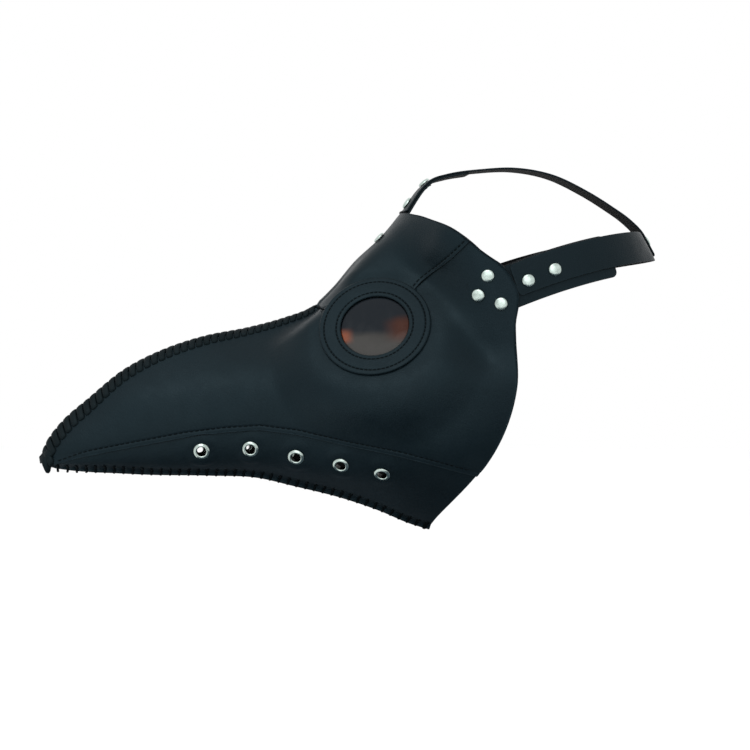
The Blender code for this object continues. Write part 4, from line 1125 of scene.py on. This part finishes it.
for side, label in SIDES:
    place = on_side(eye_frame(RING_LEVEL), side)
    ring = Bundle()
    points, faces = lathe(ring_profile[::-1], 132, place)
    ring.add(points, faces)
    build("eye_ring_cover_" + label, ring, (PANEL,), "mask", ("eye_ring_" + label,))
    rows = Bundle()
    for radius in RING_ROWS:
        angle = np.linspace(0, math.tau, 181)
        line = placed(circle(radius, ring_height(radius) - RING_GROOVE, angle), place)
        facing = np.broadcast_to(np.array(place.to_3x3())[:, 2], line.shape)
        stitches(rows, line, facing, RING_PITCH, 0.10, closed=True)
    build("ring_stitches_" + label, rows, (THREAD_BLACK,), "mask")
    glass = Bundle()
    glass.add(*lathe(LENS_PROFILE[::-1], 96, on_side(eye_frame(0.0), side)))
    build("amber_lens_" + label, glass, (AMBER,), "mask", ("lens_" + label,))

# ---------------------------------------------------------------- straps and tabs
def top_table():
    """Side-view line of the top tab's outer face, starting under the forehead panel."""
    inside = []
    for u in np.linspace(TOP_TAB_START, 1.0, 7):
        here = shell_at(u, 0.0, FOREHEAD_LEVEL - 3 * GAP)
        inside.append((here[0], here[2]))
    knots = np.array(inside + list(TOP_PATH))
    points = smooth(along(knots), knots, np.linspace(0, 1, 1200))
    run = running(points)
    edge = np.argmin(np.linalg.norm(points - np.array(inside[-1]), axis=1))
    return points, run - run[edge]


TOP_POINTS, TOP_RUN = top_table()


def forehead_drop(s, width):
    """How far the forehead falls away beside the centre line; it fades out beyond the edge."""
    u = float(np.interp(s, (float(TOP_RUN[0]), 0.0), (TOP_TAB_START, 1.0)))
    points = shell(np.full(41, u), np.linspace(0.0, 0.4, 41))
    drop = (points - points[0]) @ unit(shell_normal(u, 0.0) * (1, 0, 1))
    return np.interp(np.abs(width), -points[:, 1], drop) * float(falloff(s, 0.0, 40.0))


def top_at(s):
    x = np.interp(s, TOP_RUN, TOP_POINTS[:, 0])
    z = np.interp(s, TOP_RUN, TOP_POINTS[:, 1])
    return np.array((x, 0.0, z))


def top_frame(s):
    """Point, width direction and outward direction of the crown strap at running length s."""
    wide = np.array((0.0, 1.0, 0.0))
    point = top_at(s)
    out = unit(np.cross(top_at(s + 2.0) - top_at(s - 2.0), wide))
    if out[2] + 0.5 * out[0] * np.sign(point[0]) < 0:
        out = -out
    return point, wide, out


def rounded(gap_start, gap_end, half, radius_start, radius_end):
    """Share of the half width left near the rounded ends of a ribbon."""
    shrink = 0.0
    for gap, radius in ((gap_start, radius_start), (gap_end, radius_end)):
        if gap < radius:
            shrink = max(shrink, radius - math.sqrt(max(radius ** 2 - (radius - gap) ** 2, 0.0)))
    return 1 - shrink / half


def ribbon(frame_at, start, end, low, high, offset, radius_start=0.0, radius_end=0.0, lift=None, drop=None):
    """Strap sheet between two running lengths, slightly crowned across."""
    fine = np.array((0.0, 0.04, 0.12, 0.25, 0.45, 0.7, 1.0))
    ends = start + fine * radius_start if radius_start else np.array([start])
    tail = end - fine[::-1] * radius_end if radius_end else np.array([end])
    steps = max(int((tail[0] - ends[-1]) / 1.6), 2)
    stations = np.concatenate([ends, np.linspace(ends[-1], tail[0], steps + 1)[1:-1], tail])
    half, centre = (high - low) / 2, (high + low) / 2
    across = np.sin(np.linspace(-0.5, 0.5, 17) * math.pi)
    inner, outer = [], []
    for s in stations:
        point, wide, out = frame_at(s)
        keep = rounded(s - start, end - s, half, radius_start, radius_end)
        widths = centre + across * half * keep
        raised = np.full_like(widths, offset + (lift(s) if lift else 0.0))
        if drop:
            raised = raised + drop(s, widths)
        crown = STRAP_BOW[0] * (1 - np.abs(across) ** 4) + STRAP_BOW[1]
        inner.append(point + widths[:, None] * wide + raised[:, None] * out)
        outer.append(point + widths[:, None] * wide + (raised + LEATHER + crown)[:, None] * out)
    return sheet(np.array(outer), np.array(inner), STRAP_BULGE, STRAP_WEAR)


def flare(s):
    """The front end of the top strap stands off where the forehead panel passes under it."""
    reach = TOP_SNAP_GIRTH[0] - RIVET_RADIUS - 0.5
    return TOP_FLARE * float(np.clip((reach - s) / reach, 0.0, 1.0)) ** 1.5


def ribbon_spot(frame_at, s, offset, width=0.0):
    """Frame on a strap: running length, height above the strap's line and place across it."""
    point, wide, out = frame_at(s)
    return frame_matrix(point + width * wide + offset * out, out, wide)


STRAP_LOOKS = (STRAP, EDGE, STRAP_BACK)
TAB_OFFSET = -3 * GAP - LEATHER
STRAP_CORNER = 3.0
BEND = 14.0                  # half the distance between the two points that bend_points gives
STRAP_BOW = (0.22, -0.1)     # rise of a strap's middle and fall of its edges
hinge_s = band_at_x(STRAP_HINGE)
tab_bundle, strap_bundle = Bundle(), Bundle()
tab_bundle.add(*ribbon(band_frame, band_at_x(TAB_FRONT), band_at_x(TAB_REAR), -TAB_LOW, TAB_HIGH, TAB_OFFSET,
                       6.0, 5.0))
strap_bundle.add(*ribbon(band_frame, band_at_x(STRAP_FRONT), 0.0, -STRAP_HALF, STRAP_HALF, 0.0, STRAP_CORNER))


def bend_points(frame_at, s):
    """Points of a strap's line BEND before and after running length s."""
    return [frame_at(s + step)[0] for step in (-BEND, BEND)]


for side, label in SIDES:
    build("temple_tab_" + label, tab_bundle, STRAP_LOOKS, "mask", ("tab_" + label,), side)
    stands_for = ["strap_end_" + label] + (["back_strap"] if side < 0 else [])
    strap = build("head_strap_" + label, strap_bundle, STRAP_LOOKS, None, stands_for, side)
    bend_start, bend_end = bend_points(band_frame, hinge_s)
    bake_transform(strap)

top_start = float(TOP_RUN[0]) + 0.5
top_end = float(TOP_RUN[-1]) - 0.5
crown_tab, crown_strap = Bundle(), Bundle()
crown_tab.add(*ribbon(top_frame, top_start, TOP_TAB_GIRTH, -TOP_TAB_HALF, TOP_TAB_HALF, -LEATHER, 5.0, 5.0,
                      drop=forehead_drop))
build("crown_tab", crown_tab, STRAP_LOOKS, "mask", ("tab_top",))
crown_strap.add(*ribbon(top_frame, 1.2, top_end, -TOP_HALF, TOP_HALF, GAP, STRAP_CORNER, STRAP_CORNER, flare,
                        forehead_drop))
strap = build("crown_strap", crown_strap, STRAP_LOOKS, None, ("strap_end_top", "top_strap"))
bend_start, bend_end = bend_points(top_frame, TOP_HINGE_GIRTH)
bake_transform(strap)

# ---------------------------------------------------------------- rivets and press-stud caps
def dome(radius, height, lip):
    """Low dome with a rolled lip, from its top to its underside."""
    made = [(0.0, height)]
    for share in (0.2, 0.4, 0.58, 0.74, 0.86, 0.94):
        made.append((radius * share, lip + (height - lip) * math.sqrt(1 - share ** 2.6)))
    return made + [(radius * 0.985, lip * 1.25), (radius, lip * 0.7), (radius * 0.985, lip * 0.2),
                   (radius * 0.94, 0.0)]


RIVET_LOOK = dome(RIVET_RADIUS, 1.9, 0.55) + [(0.0, 0.0)]
CAP_NECK = 3.1
CAP_DEPTH = 1.75
CAP_LOOK = dome(RIVET_RADIUS, 2.2, 0.6) + [(CAP_NECK, 0.0), (CAP_NECK, -CAP_DEPTH), (0.0, -CAP_DEPTH)]
CAP_LEVEL = 1.8              # height of a cap's underside over the strap's inner face
RIVET_CLEAR = 0.1
REAR_RIVET_GIRTH = 13.0      # from the crown strap's end
REAR_RIVET_ASIDE = 6.5


def turned(name, profile, where, body, stands_for):
    piece = Bundle()
    piece.add(*lathe(profile[::-1], 44, where))
    build(name, piece, (NICKEL,), body, (stands_for,))


temple_spots = []
for x, z in TEMPLE_RIVETS:
    centre, width = band_across(x, z)
    temple_spots.append(ribbon_spot(band_frame, band_at_x(centre), LEATHER + GAP + 0.05, width))
side_snaps = [ribbon_spot(band_frame, band_at_x(x), CAP_LEVEL, drop) for x, drop in zip(SNAPS, SNAP_DROP)]
for side, label in SIDES:
    for number, spot in enumerate(temple_spots, 1):
        name = "rivet_%s_%d" % (label, number)
        turned(name, RIVET_LOOK, on_side(spot, side), "mask", "temple_" + name)
    for word, spot in zip(WORDS, side_snaps):
        name = "cap_%s_%s" % (label, word)
        turned("stud_" + name, CAP_LOOK, on_side(spot, side), "strap_end_" + label, "snap_" + name)
for word, s in zip(WORDS, TOP_SNAP_GIRTH):
    turned("stud_cap_top_" + word, CAP_LOOK, ribbon_spot(top_frame, s, GAP + CAP_LEVEL), "strap_end_top",
           "snap_cap_top_" + word)
rivet_centre = shell_at(FOREHEAD_RIVET, 0.0, FOREHEAD_LEVEL + LEATHER)
rivet_normal = shell_normal(FOREHEAD_RIVET, 0.0) * (1, 0, 1)
turned("rivet_forehead", RIVET_LOOK,
       frame_matrix(rivet_centre + RIVET_CLEAR * rivet_normal, rivet_normal, (0, 1, 0)), "mask",
       "forehead_rivet")
rear_level = GAP + LEATHER + RIVET_CLEAR
for side, label in SIDES:
    spot = ribbon_spot(top_frame, top_end - REAR_RIVET_GIRTH, rear_level, side * REAR_RIVET_ASIDE)
    turned("rivet_rear_" + label, RIVET_LOOK, spot, "mask", "rear_rivet_" + label)

# ---------------------------------------------------------------- laces
ridge_stations = np.linspace(0.0, BRIDGE, 400)
ridge_points = shell(ridge_stations, np.zeros(400))
ridge_run = running(ridge_points)


def ridge_frame(s):
    """Station, ridge point, direction up and out, and direction along the ridge at running length s."""
    u = float(np.interp(s, ridge_run, ridge_stations))
    rise = unit(shell_normal(u, 0.0) * (1, 0, 1))
    return u, shell(u, 0.0), rise, np.cross(rise, (0, 1, 0))


def at_share(pair, share):
    return pair[0] + (pair[1] - pair[0]) * share


def side_point(u, s, level):
    """Point on the left outer face at girth s from the ridge."""
    return shell_level(u, max(v_at_girth(u, s), 1e-4), level)[0]


def ridge_wrap(bundle, s, share, slant):
    """One turn of the lace over the ridge; share is its place from tip to bridge."""
    reach = at_share(RIDGE_REACH, share)
    thin = at_share(LACE_THIN, share)
    wide = at_share(LACE_WIDE, share)
    _, top, rise, ahead = ridge_frame(s)
    apex = top + rise * (at_share(RIDGE_HEIGHT, share ** 0.5) - thin)
    top_level = UPPER_LEVEL + LEATHER
    knots = []
    for sign in (-1, 1):
        shifted = float(np.clip(s + sign * slant / 2, 0.5, ridge_run[-1]))
        u = ridge_frame(shifted)[0]
        limit = 0.8 * float(girth(u)[-1])
        arm = [side_point(u, min(reach, limit), top_level - 1.2),
               side_point(u, min(reach * 0.86, limit), top_level + thin * 0.55),
               side_point(u, min(reach * 0.45, limit * 0.6), top_level + thin * 0.9)]
        knots.append([point * (1, -sign, 1) for point in arm])
    knots = np.array(knots[0] + [apex] + knots[1][::-1])
    path = smooth(along(knots), knots, np.linspace(0, 1, 19))
    bundle.add(*tube(path, ahead, wide, thin, 12, 0.7))


ridge_laces = Bundle()
s = 2.0
while s < ridge_run[-1] + 1.5:
    share = min(s / ridge_run[-1], 1.0)
    pitch = at_share(RIDGE_PITCH, share)
    ridge_wrap(ridge_laces, s, share, pitch * 0.9)
    s += pitch
build("ridge_laces", ridge_laces, (LACE,), "mask")


def keel_point(s, height):
    """Point of the mirror plane at the laced keel edge: running length and height above the bottom."""
    u = float(np.interp(s, keel_run, jaw_stations))
    base = shell(u, 1.0) * (1, 0, 1)
    return base + keel_down(u) * (FIN_DEPTH - FIN_LIFT - height)


def keel_skin(s, reach, lift):
    """Point above the left face of the jaw panel: reach is the girth from the bottom of the laced edge."""
    column = int(round(float(np.interp(s, keel_run, np.arange(KEEL_COLUMNS)))))
    line = jaw_outer[column][::-1]
    facing = jaw_normal[column][::-1]
    run = running(line)
    return at_length(reach, run, line) + unit(at_length(reach, run, facing)) * lift


KEEL_SLANT = 0.9
KEEL_TAPER = 45.0            # the laces are shorter this near the tip
KEEL_TUBE = (0.95, 0.60)     # half width and half thickness
KEEL_KNOT = 1.7              # the last lace is thicker
keel_laces = Bundle()
for k in range(1, keel_count + 1):
    s = k * keel_step
    reach = KEEL_REACH * (0.5 + 0.5 * min(1.0, s / KEEL_TAPER))
    knots = [keel_skin(s + KEEL_SLANT, reach, -0.9), keel_skin(s + KEEL_SLANT, reach - 0.7, 0.35),
             keel_skin(s + KEEL_SLANT * 0.7, reach * 0.66, 0.55),
             keel_skin(s + KEEL_SLANT * 0.4, reach * 0.36, 0.50), keel_skin(s, 0.6, 0.40),
             keel_point(s, -0.45)]
    knots = np.array(knots + [point * (1, -1, 1) for point in knots[-2::-1]])
    path = smooth(along(knots), knots, np.linspace(0, 1, 27))
    along_keel = keel_point(s + 1, 0) - keel_point(s, 0)
    last = 1.0 if k < keel_count else KEEL_KNOT
    keel_laces.add(*tube(path, along_keel, KEEL_TUBE[0] * last, KEEL_TUBE[1] * last, 10, 0.8))
build("keel_laces", keel_laces, (KEEL_CORD_PAINTED_SHADE,), "mask", ("keel_lacing",))

# the beak tip is bound round with the end of the lace
TIP_CENTRE = np.array((-379.0, 0.0, -101.2))
TIP_WRAPS = 6
TIP_ANGLES = (124, 204)
TIP_SIZES = (6.4, 3.6)
TIP_HALF_WIDTH = 6.6
tip_laces = Bundle()
for angle, size in zip(np.radians(np.linspace(*TIP_ANGLES, TIP_WRAPS)), np.linspace(*TIP_SIZES, TIP_WRAPS)):
    out = np.array((math.cos(angle), 0.0, math.sin(angle)))
    across = np.cross(out, (0, 1, 0))
    knots = []
    for turn in np.linspace(-1, 1, 9):
        lean = turn * math.pi / 2
        knots.append(TIP_CENTRE + out * (1.5 + size * max(math.cos(lean), 0.0) ** 0.7)
                     + np.array((0, TIP_HALF_WIDTH * math.sin(lean), 0)) + across * 1.2 * turn)
    path = smooth(along(knots), knots, np.linspace(0, 1, 23))
    tip_laces.add(*tube(path, across, 1.55, 1.45, 12, 0.7))
build("tip_laces", tip_laces, (LACE,), "mask")

# ---------------------------------------------------------------- CAD pieces that stay
KEPT = {"ridge_lacing": LACE, "lens_backing_left": BACKING, "lens_backing_right": BACKING}
for label in ("left", "right", "top"):
    for word in WORDS:
        KEPT["snap_stud_%s_%s" % (label, word)] = NICKEL
for name, look in KEPT.items():
    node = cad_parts[name]
    for slot in node.material_slots:
        slot.link = "OBJECT"
        slot.material = look

# ---------------------------------------------------------------- floor, light and camera
floor_shape = bmesh.new()
bmesh.ops.create_circle(floor_shape, cap_ends=True, segments=96, radius=9.0)
floor = mesh_object("floor", floor_shape)
floor.location = (-0.14, 0.0, FLOOR_LEVEL)
made, tree, shader = nodes_of("pale_floor")
pale = ramp(tree, noise(tree, 3.0, 2.0), 0.2, 0.8, (0.96, 0.96, 0.96), (0.98, 0.98, 0.98))
fill_in(shader, {"Base Color": pale, "Roughness": 0.9, "Specular IOR Level": 0.1})
floor.data.materials.append(made)

# a dark card that only reflections see stands for the dark surroundings below
card_shape = bmesh.new()
bmesh.ops.create_grid(card_shape, x_segments=2, y_segments=2, size=1.0)
card = mesh_object("low_card", card_shape)
card.location = (0.10, -0.05, -0.34)
card.scale = (0.50, 0.60, 1.0)
card.visible_camera = False
card.visible_shadow = False
card.visible_diffuse = False
made, tree, shader = nodes_of("dark_card")
fill_in(shader, {"Base Color": (0.050, 0.075, 0.095, 1.0), "Roughness": 0.9})
card.data.materials.append(made)


def softbox(name, position, size, power):
    light = bpy.data.lights.new(name, "AREA")
    light.shape = "RECTANGLE"
    light.size, light.size_y = size
    light.energy = power
    holder = bpy.data.objects.new(name, light)
    holder.location = position
    holder.rotation_euler = (MIDDLE - Vector(position)).to_track_quat("-Z", "Y").to_euler()
    bpy.context.scene.collection.objects.link(holder)


MIDDLE = Vector((-0.14, 0.0, -0.03))
softbox("key", (-0.75, -1.3, 1.35), (1.3, 1.0), 10.5)
softbox("fill", (-0.40, -1.8, 0.30), (1.4, 1.0), 5.5)
softbox("rim", (0.9, 1.1, 1.5), (1.2, 1.2), 3.5)
world = bpy.data.worlds.new("studio")
bpy.context.scene.world = world
world.use_nodes = True
sky = world.node_tree
background = sky.nodes["Background"]
fill_in(background, {"Color": (1, 1, 1, 1), "Strength": 1.04})
seen = sky.nodes.new("ShaderNodeBackground")
fill_in(seen, {"Color": (1, 1, 1, 1), "Strength": 1.0})
rays = sky.nodes.new("ShaderNodeLightPath")
either = sky.nodes.new("ShaderNodeMixShader")
fill_in(either, {"Fac": rays.outputs["Is Camera Ray"], 1: background.outputs["Background"],
                 2: seen.outputs["Background"]})
fill_in(sky.nodes["World Output"], {"Surface": either.outputs["Shader"]})
bpy.context.scene.view_settings.view_transform = "Standard"

CAMERA_TARGET = Vector((-0.124, 0.0, -0.036))
CAMERA_AZIMUTH = math.radians(-8.0)
CAMERA_RANGE = 1.6
camera_data = bpy.data.cameras.new("camera")
camera_data.sensor_width = 36.0
camera_data.lens = 96.0
camera = bpy.data.objects.new("camera", camera_data)
camera_side = Vector((math.sin(CAMERA_AZIMUTH), -math.cos(CAMERA_AZIMUTH), 0.0))
camera.location = CAMERA_TARGET + CAMERA_RANGE * camera_side
camera.rotation_euler = (CAMERA_TARGET - camera.location).to_track_quat("-Z", "Y").to_euler()
bpy.context.scene.collection.objects.link(camera)
bpy.context.scene.camera = camera
